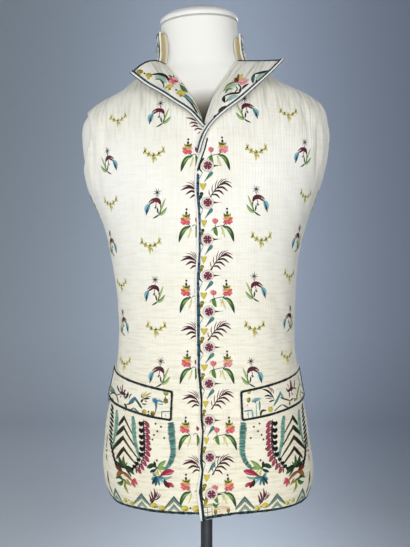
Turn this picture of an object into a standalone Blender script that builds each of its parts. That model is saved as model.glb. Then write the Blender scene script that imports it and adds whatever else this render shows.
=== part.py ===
"""A man's embroidered waistcoat on a limbless dress form, with its pole and base.

Metres, +Z up. The wearer faces -Y, so +X is the wearer's left. The origin is the middle of the
base's underside.

The body is a stack of rounded sections round the Z axis. A place on it is a turn, in degrees from
the front centre towards the wearer's left, and a height. Every panel is a grid stretched between
its four cut edges on that body, and what lies on a panel is a grid on the same body, moved further
out. Everything follows the form's slight lean towards the wearer's right.
"""

import math
from collections import namedtuple

import bmesh
import bpy
from mathutils import Matrix, Vector

# ---- driving dimensions ----

CLOTH = 0.0020  # silk, interlining and lining together
GAP = 0.0003  # between pieces at a seam

HEM = 0.159
ARMPIT = 0.595
SHOULDER_END = 0.757
NECK_POINT = 0.818
NAPE = 0.832
COLLAR_TOP = 0.8645
NECK_TOP = 0.884

SIDE_TURN = 95.0  # the side seam, just behind the widest place
SHOULDER_TURN = 93.0  # the shoulder seam
ARMHOLE_FRONT_CUT = 18.0  # how far the armhole is cut forwards of the shoulder seam, in degrees
ARMHOLE_BACK_CUT = 21.0

BUTTON_LINE = 0.0015  # x of the button line
OVER_EDGE = 0.0130  # the left front's edge, past the button line
UNDER_EDGE = 0.0130  # the right front's edge, past it the other way
OVERLAP_EASE = 0.018  # how far the left front takes to come down off the right one
CORNER_RADIUS = 0.038  # the rounded corner of each front at the side vent
VENT_TOP = 0.275
VENT_SPREAD = 2.2  # degrees that each vent edge draws back at the hem
SIDE_RISE = 0.0060  # each front's hem is this much higher at the side
CORNER_DROP = 0.0072  # the left front's corner hangs this much lower
DROP_WIDTH = 0.35
DROP_HEIGHT = 0.08

TILT = math.radians(3.0)  # of the shoulders and neck, down on the wearer's right
TILT_FOOT = 0.50  # the tilt begins here
TILT_FULL = 0.82  # and is whole here

BUTTONS = 10
TOP_BUTTON = 0.651
BUTTON_PITCH = 0.0512
BUTTON_RADIUS = 0.0086
BUTTON_HEIGHT = 0.0046

FORM_BOTTOM = 0.1628
FORM_EDGE = 0.008  # rounding of the form's lower edge
FORM_SEGMENTS = 38
FORM_HEIGHTS = [
    0.230, 0.265, 0.300, 0.340, 0.380, 0.420, 0.460, 0.500, 0.540, 0.580, 0.615, 0.645, 0.675, 0.700,
    0.720, 0.736, 0.748, 0.759, 0.770, 0.781, 0.792, 0.803, 0.814, 0.826, 0.842, 0.862,
]  # fmt: skip

CAP_RADIUS = 0.0600
CAP_HEIGHT = 0.0255
CAP_LIP = 0.0050
CAP_BREAK = 0.0010  # the small corner taken off its lower edge
CAP_STEPS = 6

POLE_RADIUS = 0.0090
BASE_RADIUS = 0.150
BASE_THICKNESS = 0.008
BASE_EDGE = 0.0015
SOCKET_WALL = 0.006
BASE_SOCKET = 0.024
FORM_SOCKET = 0.012

COLLAR_STAND_OFF = 0.0046  # how far its upper half stands off the body's line
COLLAR_TILT = 0.0050  # its top is this much lower at the wearer's left, and higher at the right
COLLAR_SLANT = 0.06  # its ends lean back by this share of the way round
COLLAR_SEAM = 0.0005  # its foot's height over the cut edges of the fronts and backs
NECK_SEAM_GAP = 0.4  # degrees between the necklines of a front and a back, at the shoulder seam

FRONT_COLUMNS = 15
BACK_COLUMNS = 14
BACK_NECK_COLUMNS = 8  # of them, along the neckline
LAPEL_COLUMNS = 8
COLLAR_ROWS = 4
FLAP_COLUMNS = 12
FLAP_ROWS = 4

Section = namedtuple("Section", "height half_width front back fullness")
BODY = [
    Section(0.1480, 0.1370, 0.1150, 0.1110, 2.30),
    Section(0.1620, 0.1468, 0.1160, 0.1125, 2.30),
    Section(0.1800, 0.1550, 0.1170, 0.1140, 2.30),
    Section(0.2050, 0.1590, 0.1175, 0.1160, 2.30),
    Section(0.2450, 0.1555, 0.1165, 0.1150, 2.30),
    Section(0.2900, 0.1495, 0.1145, 0.1110, 2.28),
    Section(0.3350, 0.1400, 0.1110, 0.1020, 2.25),
    Section(0.3750, 0.1348, 0.1080, 0.0930, 2.22),
    Section(0.4150, 0.1328, 0.1060, 0.0865, 2.20),
    Section(0.4500, 0.1340, 0.1065, 0.0860, 2.20),
    Section(0.4900, 0.1370, 0.1085, 0.0900, 2.20),
    Section(0.5350, 0.1438, 0.1125, 0.0980, 2.22),
    Section(0.5750, 0.1535, 0.1160, 0.1050, 2.24),
    Section(0.6100, 0.1645, 0.1175, 0.1100, 2.24),
    Section(0.6450, 0.1768, 0.1165, 0.1125, 2.22),
    Section(0.6800, 0.1868, 0.1120, 0.1135, 2.18),
    Section(0.7100, 0.1900, 0.1045, 0.1125, 2.12),
    Section(0.7350, 0.1880, 0.0950, 0.1100, 2.06),
    Section(0.7520, 0.1775, 0.0870, 0.1055, 2.00),
    Section(0.7675, 0.1555, 0.0790, 0.1000, 2.00),
    Section(0.7830, 0.1245, 0.0720, 0.0940, 2.00),
    Section(0.7980, 0.1035, 0.0670, 0.0875, 2.00),
    Section(0.8120, 0.0800, 0.0630, 0.0800, 2.00),
    Section(0.8260, 0.0675, 0.0610, 0.0725, 2.00),
    Section(0.8400, 0.0622, 0.0595, 0.0665, 2.00),
    Section(0.8600, 0.0597, 0.0585, 0.0612, 2.00),
    Section(0.8840, 0.0590, 0.0580, 0.0580, 2.00),
]

Clearance = namedtuple("Clearance", "height inset")
CLEARANCES = [
    Clearance(0.150, 0.0050),
    Clearance(0.300, 0.0040),
    Clearance(0.415, 0.0030),
    Clearance(0.600, 0.0026),
    Clearance(0.735, 0.0027),
    Clearance(0.800, 0.0026),
    Clearance(0.840, 0.0018),
    Clearance(0.862, 0.0009),
    Clearance(0.884, 0.0004),
]

Sway = namedtuple("Sway", "height sideways")
SWAYS = [  # how far the middle of the figure is from the pole's line
    Sway(0.150, 0.0045),
    Sway(0.200, 0.0030),
    Sway(0.270, 0.0000),
    Sway(0.440, 0.0000),
    Sway(0.520, -0.0024),
    Sway(0.600, -0.0020),
    Sway(0.700, -0.0026),
    Sway(0.820, -0.0084),
    Sway(0.884, -0.0118),
]

Fold = namedtuple("Fold", "panel x_low low x_high high width depth")
FOLDS = [  # x is the distance from the middle at the fold's low and high ends
    Fold("front_left", 0.140, 0.716, 0.104, 0.790, 0.008, -0.0018),
    Fold("front_left", 0.152, 0.700, 0.117, 0.782, 0.009, 0.0012),
    Fold("front_left", 0.165, 0.690, 0.130, 0.775, 0.009, -0.0018),
    Fold("front_left", 0.164, 0.600, 0.169, 0.705, 0.009, -0.0020),
    Fold("front_left", 0.096, 0.345, 0.112, 0.472, 0.012, -0.0016),
    Fold("front_left", 0.112, 0.365, 0.121, 0.460, 0.009, -0.0013),
    Fold("front_right", 0.144, 0.690, 0.106, 0.785, 0.009, -0.0018),
    Fold("front_right", 0.152, 0.598, 0.158, 0.700, 0.010, -0.0018),
    Fold("front_right", 0.118, 0.350, 0.112, 0.445, 0.013, -0.0013),
    Fold("back_left", 0.052, 0.370, 0.046, 0.520, 0.014, -0.0016),
    Fold("back_left", 0.118, 0.610, 0.100, 0.745, 0.015, -0.0018),
    Fold("back_right", 0.060, 0.360, 0.052, 0.500, 0.015, -0.0018),
    Fold("back_right", 0.124, 0.600, 0.104, 0.730, 0.014, -0.0016),
]

Roll = namedtuple("Roll", "x height")
ROLL = [  # the line that each lapel is turned back on, from the front's edge to the collar
    Roll(0.0012, 0.7065),
    Roll(0.0088, 0.7300),
    Roll(0.0176, 0.7520),
    Roll(0.0276, 0.7712),
    Roll(0.0410, 0.7925),
    Roll(0.0545, 0.8120),
]
LEFT_ROLL_START = [Roll(BUTTON_LINE - OVER_EDGE, 0.6680), Roll(-0.0068, 0.6880)]
RIGHT_ROLL_START = [Roll(-BUTTON_LINE - UNDER_EDGE, 0.6680), Roll(-0.0095, 0.6880)]
RIGHT_LAPEL_SKIP = 3  # the right lapel begins this many rows higher

LapelEdge = namedtuple("LapelEdge", "x y height")
LEFT_LAPEL_EDGE = [
    LapelEdge(-0.0100, -0.1225, 0.6700),
    LapelEdge(-0.0053, -0.1215, 0.6840),
    LapelEdge(0.0022, -0.1185, 0.6985),
    LapelEdge(0.0140, -0.1145, 0.7145),
    LapelEdge(0.0317, -0.1095, 0.7300),
    LapelEdge(0.0538, -0.1040, 0.7454),
    LapelEdge(0.0794, -0.0975, 0.7661),
    LapelEdge(0.0994, -0.0900, 0.7831),
    LapelEdge(0.1217, -0.0780, 0.8047),
]
RIGHT_LAPEL_EDGE = [
    LapelEdge(0.0035, -0.1140, 0.7065),
    LapelEdge(0.0124, -0.1120, 0.7182),
    LapelEdge(0.0237, -0.1090, 0.7311),
    LapelEdge(0.0418, -0.1045, 0.7448),
    LapelEdge(0.0615, -0.0985, 0.7598),
    LapelEdge(0.0814, -0.0915, 0.7738),
    LapelEdge(0.1038, -0.0800, 0.7949),
]
LAPEL_BULGE = 0.007
LAPEL_FULL = 0.04  # the width from which a lapel bulges fully
LEFT_LAPEL_ARCH = -0.004  # how far the top edge rises between the collar and the lapel's point
RIGHT_LAPEL_ARCH = 0.009

FlapEdge = namedtuple("FlapEdge", "turn top bottom")
FLAP = [  # turn in degrees from the front centre, and the heights of the flap's two long edges
    FlapEdge(23.5, 0.3330, 0.2905),
    FlapEdge(38.0, 0.3380, 0.2945),
    FlapEdge(55.0, 0.3450, 0.3015),
    FlapEdge(70.0, 0.3520, 0.3085),
    FlapEdge(86.0, 0.3610, 0.3170),
]
FLAP_STAND_OFF = 0.0012  # how far its lower edge stands off the front
FLAP_RADIUS = 0.13  # of the body there, to turn degrees into lengths

Paint = namedtuple("Paint", "red green blue roughness metallic")
IVORY_SILK = Paint(0.82, 0.78, 0.68, 0.72, 0.0)
BACK_LINEN = Paint(0.76, 0.72, 0.63, 0.85, 0.0)
COLLAR_SILK = Paint(0.80, 0.76, 0.66, 0.72, 0.0)
PLUM_THREAD = Paint(0.30, 0.07, 0.12, 0.60, 0.0)
FORM_JERSEY = Paint(0.80, 0.78, 0.72, 0.80, 0.0)
CAP_WHITE = Paint(0.84, 0.82, 0.78, 0.45, 0.0)
DARK_STEEL = Paint(0.07, 0.075, 0.08, 0.45, 0.6)


# ---- smooth lines through short tables ----


def through(rows, keys, at):
    """The row at a key, by a smooth curve through every column of a table."""
    last = len(rows) - 1
    at = min(max(at, keys[0]), keys[last])
    i = min(max(sum(1 for key in keys if key <= at) - 1, 0), last - 1)
    span = keys[i + 1] - keys[i]
    share = (at - keys[i]) / span

    def slope(j, column):
        low, high = max(j - 1, 0), min(j + 1, last)
        return (rows[high][column] - rows[low][column]) / (keys[high] - keys[low])

    values = []
    for column in range(len(rows[0])):
        start, end = rows[i][column], rows[i + 1][column]
        lead, trail = slope(i, column) * span, slope(i + 1, column) * span
        square, cube = share * share, share**3
        values.append(
            start * (2 * cube - 3 * square + 1)
            + lead * (cube - 2 * square + share)
            + end * (3 * square - 2 * cube)
            + trail * (cube - square)
        )
    return values


def stepped(rows, count):
    """count + 1 places evenly along a smooth curve through the rows of a table."""
    keys = [0.0]
    for first, second in zip(rows, rows[1:]):
        keys.append(keys[-1] + math.dist(first, second))
    return [through(rows, keys, keys[-1] * i / count) for i in range(count + 1)]


def eased(share):
    share = min(max(share, 0.0), 1.0)
    return share * share * (3 - 2 * share)


# ---- the body ----

SECTION_HEIGHTS = [section.height for section in BODY]
CLEARANCE_HEIGHTS = [row.height for row in CLEARANCES]
SWAY_HEIGHTS = [row.height for row in SWAYS]


def section_at(height):
    return Section(*through(BODY, SECTION_HEIGHTS, height))


def radius_at(turn, section):
    """Distance from the Z axis to the section's edge, in the direction of the turn."""
    across = abs(math.sin(math.radians(turn))) / section.half_width
    along = math.cos(math.radians(turn))
    depth = section.front if along > 0 else section.back
    power = section.fullness
    return (across**power + (abs(along) / depth) ** power) ** (-1 / power)


def leaned(point):
    """The place of a point of the upright figure on the leaning one."""
    tilt = TILT * min(max((point.z - TILT_FOOT) / (TILT_FULL - TILT_FOOT), 0.0), 1.0)
    sideways = through(SWAYS, SWAY_HEIGHTS, point.z)[1]
    return Vector((point.x * math.cos(tilt) + sideways, point.y, point.z + point.x * math.sin(tilt)))


def upright(turn, height):
    radius = radius_at(turn, section_at(height))
    angle = math.radians(turn)
    return Vector((radius * math.sin(angle), -radius * math.cos(angle), height))


def outward(turn, height):
    """The body's outward normal."""
    sideways = upright(turn + 0.5, height) - upright(turn - 0.5, height)
    upwards = upright(turn, height + 0.001) - upright(turn, height - 0.001)
    return sideways.cross(upwards).normalized()


def on_body(turn, height, lift=0.0):
    return leaned(upright(turn, height) + outward(turn, height) * lift)


def turn_at(x, height):
    """The turn at which the front of the body is at x."""
    low, high = -89.0, 89.0
    section = section_at(height)
    for _ in range(30):
        middle = (low + high) / 2
        if radius_at(middle, section) * math.sin(math.radians(middle)) < x:
            low = middle
        else:
            high = middle
    return (low + high) / 2


def fold_lift(panel, turn, height):
    """How far the folds of one panel move it in or out."""
    lift = 0.0
    distance = abs(upright(turn, height).x)
    for fold in FOLDS:
        if fold.panel != panel or not fold.low < height < fold.high:
            continue
        share = (height - fold.low) / (fold.high - fold.low)
        middle = fold.x_low + (fold.x_high - fold.x_low) * share
        across = (distance - middle) / fold.width
        lift += fold.depth * math.sin(math.pi * share) * math.exp(-across * across)
    return lift


# ---- panels as grids between their cut edges ----


def patch(left, right, bottom, top):
    """A function of two shares, 0 to 1, that fills four edges, each a list of (turn, height)."""
    rows, columns = len(left) - 1, len(bottom) - 1

    def place(u, v):
        j, i = round(v * rows), round(u * columns)
        corners = (
            (1 - u) * (1 - v) * Vector(bottom[0])
            + u * (1 - v) * Vector(bottom[-1])
            + (1 - u) * v * Vector(top[0])
            + u * v * Vector(top[-1])
        )
        sides = (1 - u) * Vector(left[j]) + u * Vector(right[j])
        ends = (1 - v) * Vector(bottom[i]) + v * Vector(top[i])
        return sides + ends - corners

    return place


def straight(start, end, count):
    return [Vector(start).lerp(Vector(end), i / count) for i in range(count + 1)]


def armhole(cut, count):
    """From the armpit up to the shoulder seam, cut towards the front or, with a negative cut, the back."""
    middle, reach = (ARMPIT + SHOULDER_END) / 2, (SHOULDER_END - ARMPIT) / 2
    edge = []
    for i in range(count + 1):
        angle = math.pi * i / count
        seam = SIDE_TURN + (SHOULDER_TURN - SIDE_TURN) * i / count
        edge.append(Vector((seam - cut * math.sin(angle) ** 0.8, middle - reach * math.cos(angle))))
    return edge


def side_edge(direction, heights):
    """The side seam and the vent below it.

    Direction is -1 for a front, which is rounded at the hem, and 1 for a back.
    """
    edge = []
    for height in heights:
        open_share = eased((VENT_TOP - height) / (VENT_TOP - HEM))
        turn = SIDE_TURN + direction * VENT_SPREAD * open_share
        from_hem = height - HEM
        radius = radius_at(SIDE_TURN, section_at(height))
        if direction < 0 and from_hem < CORNER_RADIUS:
            rounded = CORNER_RADIUS - math.sqrt(CORNER_RADIUS**2 - (CORNER_RADIUS - from_hem) ** 2)
            turn -= math.degrees(rounded / radius)
        turn += direction * math.degrees(GAP / 2 / radius)
        edge.append(Vector((turn, height)))
    return edge


LOWER_HEIGHTS = [HEM + rise for rise in (0, 0.004, 0.010, 0.020, 0.038)]
LOWER_ROWS = 20
UPPER_ROWS = 18  # above the armpit
ROLL_ROWS = 10
NECK_ROWS = 4  # along the front's short neckline, from the roll line to the shoulder seam


def panel_heights():
    first = LOWER_HEIGHTS[-1]
    return LOWER_HEIGHTS + [first + (ARMPIT - first) * i / LOWER_ROWS for i in range(1, LOWER_ROWS + 1)]


def roll_line(start):
    """The roll line of one front, as (turn, height)."""
    return [Vector((turn_at(x, height), height)) for x, height in stepped(start + ROLL, ROLL_ROWS)]


def front_panel(start):
    """The outline of a front, in turns towards its own side, as two grids: up to the armpit, and above it."""
    heights = panel_heights()
    edge_x = start[0].x
    inner = [Vector((turn_at(edge_x, height), height)) for height in heights]
    outer = side_edge(-1, heights)
    hem = straight(inner[0], outer[0], FRONT_COLUMNS)
    chest = straight(inner[-1], outer[-1], FRONT_COLUMNS)
    lower = patch(inner, outer, hem, chest)

    rise = UPPER_ROWS - ROLL_ROWS - NECK_ROWS
    up = [Vector((turn_at(edge_x, h), h)) for _, h in straight((0, ARMPIT), (0, start[0].height), rise)]
    left = up + roll_line(start)[1:] + front_neckline()[1:]
    right = armhole(ARMHOLE_FRONT_CUT, UPPER_ROWS)
    right[-1] = Vector((SHOULDER_TURN - 0.1, SHOULDER_END))
    right[0] = outer[-1]
    shoulder = straight(left[-1], right[-1], FRONT_COLUMNS)
    upper = patch(left, right, chest, shoulder)
    return lower, upper, len(heights) - 1


def back_panel():
    """The outline of a back half, in turns from the front centre, as two grids."""
    heights = panel_heights()
    inner = [Vector((180 - math.degrees(GAP / 2 / section_at(h).back), h)) for h in heights]
    outer = side_edge(1, heights)
    hem = straight(inner[0], outer[0], BACK_COLUMNS)
    chest = straight(inner[-1], outer[-1], BACK_COLUMNS)
    lower = patch(inner, outer, hem, chest)

    left = straight(inner[-1], (inner[-1].x, NAPE), UPPER_ROWS)
    right = armhole(-ARMHOLE_BACK_CUT, UPPER_ROWS)
    right[-1] = Vector((SHOULDER_TURN + 0.2, SHOULDER_END))
    right[0] = outer[-1]
    neckline = back_neckline()
    neckline[0] = left[-1]
    top = neckline + straight(neckline[-1], right[-1], BACK_COLUMNS - BACK_NECK_COLUMNS)[1:]
    upper = patch(left, right, chest, top)
    return lower, upper, len(heights) - 1


def front_neckline():
    """From the top of the roll line to the shoulder seam."""
    x, height = ROLL[-1]
    return straight((turn_at(x, height), height), (SHOULDER_TURN - 0.1, NECK_POINT), NECK_ROWS)


def back_neckline():
    """From the nape to the shoulder seam."""
    reach = SHOULDER_TURN + NECK_SEAM_GAP - 180
    drop = NECK_POINT - NAPE
    shares = [i / BACK_NECK_COLUMNS for i in range(BACK_NECK_COLUMNS + 1)]
    return [Vector((180 + reach * share, NAPE + drop * eased(share))) for share in shares]


def joined(lower, upper, lower_rows):
    """Two grids, one above the other, as one grid."""
    rows = lower_rows + UPPER_ROWS

    def place(u, v):
        row = round(v * rows)
        if row <= lower_rows:
            return lower(u, row / lower_rows)
        return upper(u, (row - lower_rows) / UPPER_ROWS)

    return place, rows


def overlap_lift(x):
    """How far the left front lies out from the body, where it covers the right one."""
    covered = BUTTON_LINE + UNDER_EDGE + 0.004
    return (CLOTH + 2 * GAP) * eased((covered + OVERLAP_EASE - x) / OVERLAP_EASE)


def front_place(side, name, grid, u, v):
    turn, height = grid(u, v)
    near_hem = max(1 - (height - HEM) / DROP_HEIGHT, 0.0) ** 2
    height += SIDE_RISE * u**3 * near_hem
    if side > 0 and u < DROP_WIDTH:
        height -= CORNER_DROP * (1 - u / DROP_WIDTH) ** 2 * near_hem
    lift = fold_lift(name, turn, height)
    if side > 0:
        lift += overlap_lift(upright(turn, height).x)
    return on_body(side * turn, height, lift)


# ---- making solids ----


def clear_scene():
    for old in list(bpy.data.objects):
        bpy.data.objects.remove(old)


def material(name, paint):
    made = bpy.data.materials.new(name)
    made.use_nodes = True
    shader = made.node_tree.nodes["Principled BSDF"]
    shader.inputs["Base Color"].default_value = (paint.red, paint.green, paint.blue, 1)
    shader.inputs["Roughness"].default_value = paint.roughness
    shader.inputs["Metallic"].default_value = paint.metallic
    return made


def add_object(name, mesh, paint):
    obj = bpy.data.objects.new(name, mesh)
    mesh.materials.append(material(name + "_finish", paint))
    PARTS.objects.link(obj)
    return obj


def cloth(name, columns, rows, place, paint, side=1, thickness=CLOTH):
    """A grid of cloth on the body, given its thickness outwards."""
    shape = bmesh.new()
    bmesh.ops.create_grid(shape, x_segments=columns, y_segments=rows, size=0.5)
    for point in shape.verts:
        point.co = place(point.co.x + 0.5, point.co.y + 0.5)
    if side < 0:
        bmesh.ops.reverse_faces(shape, faces=shape.faces[:])
    mesh = bpy.data.meshes.new(name)
    shape.to_mesh(mesh)
    shape.free()
    obj = add_object(name, mesh, paint)
    wall = obj.modifiers.new("wall", "SOLIDIFY")
    wall.thickness = thickness
    wall.offset = 1.0
    mesh.shade_smooth()
    return obj


def cylinder(name, radius, low, high, sides):
    bpy.ops.mesh.primitive_cylinder_add(
        vertices=sides, radius=radius, depth=high - low, location=(0, 0, (low + high) / 2)
    )
    obj = bpy.context.object
    obj.name = name
    for other in obj.users_collection:
        other.objects.unlink(obj)
    PARTS.objects.link(obj)
    obj.data.materials.append(material(name + "_finish", DARK_STEEL))
    obj.data.shade_smooth()
    obj.data.set_sharp_from_angle(angle=math.radians(40))
    return obj


def turned(name, profile, paint, steps):
    """A profile of (radius, height) turned round Z, from its top outer end down."""
    mesh = bpy.data.meshes.new(name)
    points = [(radius, 0.0, height) for radius, height in profile]
    ends = len(points) if points[0][0] > 0 else len(points) - 1
    mesh.from_pydata(points, [(i, (i + 1) % len(points)) for i in range(ends)], [])
    obj = add_object(name, mesh, paint)
    screw = obj.modifiers.new("turn", "SCREW")
    screw.steps = steps
    screw.render_steps = steps
    screw.use_smooth_shade = True
    screw.use_merge_vertices = True
    screw.merge_threshold = 0.00001
    return obj


# ---- the pieces ----


def make_fronts():
    for side, name, start in (
        (1, "front_left", LEFT_ROLL_START),
        (-1, "front_right", RIGHT_ROLL_START),
    ):
        grid, rows = joined(*front_panel(start))
        cloth(
            name,
            FRONT_COLUMNS,
            rows,
            lambda u, v, side=side, name=name, grid=grid: front_place(side, name, grid, u, v),
            IVORY_SILK,
            side,
        )


def make_backs():
    grid, rows = joined(*back_panel())
    for side, name in ((1, "back_left"), (-1, "back_right")):

        def place(u, v, side=side, name=name):
            turn, height = grid(u, v)
            return on_body(side * turn, height, fold_lift(name, turn, height))

        cloth(name, BACK_COLUMNS, rows, place, BACK_LINEN, -side)


def make_collar():
    """The standing collar, sewn to the necklines from one lapel round the neck to the other."""
    half = front_neckline()[1:-1] + back_neckline()[::-1]
    seam = half + [Vector((360 - turn, height)) for turn, height in half[-2::-1]]
    columns = len(seam) - 1

    def place(u, v):
        turn, height = seam[round(u * columns)]
        foot = height + CLOTH * outward(turn, height).z + COLLAR_SEAM
        turn = 180 + (turn - 180) * (1 - COLLAR_SLANT * v)
        top = COLLAR_TOP - COLLAR_TILT * math.sin(math.radians(turn))
        point = upright(turn, foot + (top - foot) * v)
        away = Vector((point.x, point.y, 0)).normalized()
        return leaned(point + away * (GAP + (COLLAR_STAND_OFF - GAP) * min(v * 2, 1)))

    cloth("collar", columns, COLLAR_ROWS, place, COLLAR_SILK)


def make_lapels():
    """Each front's top, turned back on its roll line, soft there and standing off at its outer edge."""
    right_line = roll_line(RIGHT_ROLL_START)[RIGHT_LAPEL_SKIP:]
    for side, name, line, table, arch in (
        (1, "lapel_left", roll_line(LEFT_ROLL_START), LEFT_LAPEL_EDGE, LEFT_LAPEL_ARCH),
        (-1, "lapel_right", right_line, RIGHT_LAPEL_EDGE, RIGHT_LAPEL_ARCH),
    ):
        rows = len(line) - 1
        roll = []
        for turn, height in line:
            point = upright(turn, height)
            lift = CLOTH + GAP + (overlap_lift(point.x) if side > 0 else 0.0)
            roll.append(point + outward(turn, height) * lift)
        edge = [Vector(point) for point in stepped(table, rows)]

        def place(u, v, side=side, roll=roll, edge=edge, arch=arch, rows=rows):
            row = round(v * rows)
            inner, outer = roll[row], edge[row]
            across = outer - inner
            upwards = edge[min(row + 1, rows)] - edge[max(row - 1, 0)]
            out = across.cross(upwards).normalized()
            middle = (inner + outer) / 2 + out * LAPEL_BULGE * eased(across.length / LAPEL_FULL)
            middle.z += 2 * arch * v**3
            point = inner * (1 - u) ** 2 + middle * 2 * u * (1 - u) + outer * u * u
            return leaned(Vector((side * point.x, point.y, point.z)))

        cloth(name, LAPEL_COLUMNS, rows, place, COLLAR_SILK, side)


def make_flaps():
    along = [
        FlapEdge(math.radians(row.turn) * FLAP_RADIUS, row.top, row.bottom) for row in FLAP
    ]
    edges = stepped(along, FLAP_COLUMNS)
    for side, name, under in (
        (1, "pocket_flap_left", "front_left"),
        (-1, "pocket_flap_right", "front_right"),
    ):

        def place(u, v, side=side, under=under):
            arc, top, bottom = edges[round(u * FLAP_COLUMNS)]
            height = bottom + (top - bottom) * v
            stand_off = CLOTH + 2 * GAP + FLAP_STAND_OFF * (1 - v)
            turn = math.degrees(arc / FLAP_RADIUS)
            return on_body(side * turn, height, stand_off + fold_lift(under, turn, height))

        cloth(name, FLAP_COLUMNS, FLAP_ROWS, place, COLLAR_SILK, side)


def make_buttons():
    profile = [(0.0, 1.0), (0.42, 0.90), (0.80, 0.58), (1.0, 0.20), (0.90, 0.0), (0.0, 0.0)]
    lift = 2 * CLOTH + 3 * GAP
    for number in range(BUTTONS):
        height = TOP_BUTTON - BUTTON_PITCH * number
        turn = turn_at(BUTTON_LINE, height)
        seat = on_body(turn, height, lift)
        out = (on_body(turn, height, lift + 0.01) - seat).normalized()
        shape = [(radius * BUTTON_RADIUS, rise * BUTTON_HEIGHT) for radius, rise in profile]
        button = turned(f"button_{number + 1:02d}", shape, PLUM_THREAD, 12)
        button.matrix_world = Matrix.Translation(seat) @ out.to_track_quat("Z", "Y").to_matrix().to_4x4()


def form_ring(height, inset, count):
    section = section_at(height)
    ring = []
    for i in range(count):
        angle = 2 * math.pi * i / count
        sine, cosine = math.sin(angle), math.cos(angle)
        power = 2 / section.fullness
        depth = section.front if cosine > 0 else section.back
        x = (section.half_width - inset) * math.copysign(abs(sine) ** power, sine)
        y = -(depth - inset) * math.copysign(abs(cosine) ** power, cosine)
        ring.append(leaned(Vector((x, y, height))))
    return ring


def make_form():
    """The smooth torso and neck: rings of the body, set in by the clearance, closed flat at both ends."""
    rings = [form_ring(FORM_BOTTOM, FORM_EDGE * 1.3, FORM_SEGMENTS)]
    edge = [FORM_BOTTOM + FORM_EDGE * 0.44, FORM_BOTTOM + FORM_EDGE]
    for height in edge + FORM_HEIGHTS + [NECK_TOP]:
        inset = through(CLEARANCES, CLEARANCE_HEIGHTS, height)[1]
        below = max(FORM_BOTTOM + FORM_EDGE - height, 0.0)
        inset += FORM_EDGE - math.sqrt(FORM_EDGE**2 - below**2)
        rings.append(form_ring(height, inset, FORM_SEGMENTS))
    shape = bmesh.new()
    levels = [[shape.verts.new(point) for point in ring] for ring in rings]
    for low, high in zip(levels, levels[1:]):
        for i in range(FORM_SEGMENTS):
            j = (i + 1) % FORM_SEGMENTS
            shape.faces.new((low[i], low[j], high[j], high[i]))
    shape.faces.new(levels[0][::-1])
    shape.faces.new(levels[-1])
    mesh = bpy.data.meshes.new("form_torso")
    shape.to_mesh(mesh)
    shape.free()
    mesh.shade_smooth()
    add_object("form_torso", mesh, FORM_JERSEY)


def make_cap():
    quarter = [math.pi / 2 * i / CAP_STEPS for i in range(CAP_STEPS + 1)]
    dome = CAP_HEIGHT - CAP_LIP
    profile = [(CAP_RADIUS * math.sin(a), CAP_LIP + dome * math.cos(a)) for a in quarter]
    profile += [(CAP_RADIUS, CAP_BREAK), (CAP_RADIUS - CAP_BREAK, 0.0), (0.0, 0.0)]
    cap = turned("neck_cap", profile, CAP_WHITE, 36)
    seat = leaned(Vector((0, 0, NECK_TOP + GAP)))
    cap.matrix_world = Matrix.Translation(seat) @ Matrix.Rotation(-TILT, 4, "Y")


def make_stand():
    bottom, top = BASE_THICKNESS + GAP, FORM_BOTTOM - GAP
    base = cylinder("base_plate", BASE_RADIUS, 0.0, BASE_THICKNESS, 64)
    edge = base.modifiers.new("edge", "BEVEL")
    edge.width = BASE_EDGE
    edge.segments = 2
    edge.limit_method = "ANGLE"
    cylinder("pole", POLE_RADIUS, bottom, top, 24)
    inner = POLE_RADIUS + GAP
    outer = inner + SOCKET_WALL
    for name, low, high in (
        ("base_socket", bottom, bottom + BASE_SOCKET),
        ("form_socket", top - FORM_SOCKET, top),
    ):
        turned(name, [(outer, high), (outer, low), (inner, low), (inner, high)], DARK_STEEL, 24)


clear_scene()
PARTS = bpy.data.collections.new("embroidered_waistcoat")
bpy.context.scene.collection.children.link(PARTS)
make_fronts()
make_backs()
make_collar()
make_lapels()
make_flaps()
make_buttons()
make_form()
make_cap()
make_stand()
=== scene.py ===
"""The looks of the embroidered waistcoat on its dress form.

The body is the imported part's own: rounded sections round the Z axis, with a slight lean. A place on a
front is its distance round the body from the middle, and its height. Cloth is made as fine sheets on
that body, and the embroidery as raised stitches laid on the same sheets.
"""

import math
from collections import namedtuple

import bmesh
import bpy
import numpy as np
from mathutils import Matrix, Vector


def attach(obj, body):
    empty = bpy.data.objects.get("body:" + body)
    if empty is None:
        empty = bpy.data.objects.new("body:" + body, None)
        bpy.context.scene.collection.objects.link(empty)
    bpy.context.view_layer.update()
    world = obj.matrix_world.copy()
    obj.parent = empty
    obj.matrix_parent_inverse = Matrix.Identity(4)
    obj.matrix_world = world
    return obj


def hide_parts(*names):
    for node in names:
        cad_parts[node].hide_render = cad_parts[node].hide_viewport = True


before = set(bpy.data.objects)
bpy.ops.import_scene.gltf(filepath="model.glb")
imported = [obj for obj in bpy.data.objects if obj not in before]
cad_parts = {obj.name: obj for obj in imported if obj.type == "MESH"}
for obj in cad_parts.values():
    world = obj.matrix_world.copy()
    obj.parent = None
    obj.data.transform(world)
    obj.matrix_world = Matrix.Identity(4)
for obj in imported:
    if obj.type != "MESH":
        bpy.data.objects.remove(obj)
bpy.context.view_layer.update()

# ---- sizes, in metres, as in the part ----

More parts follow.
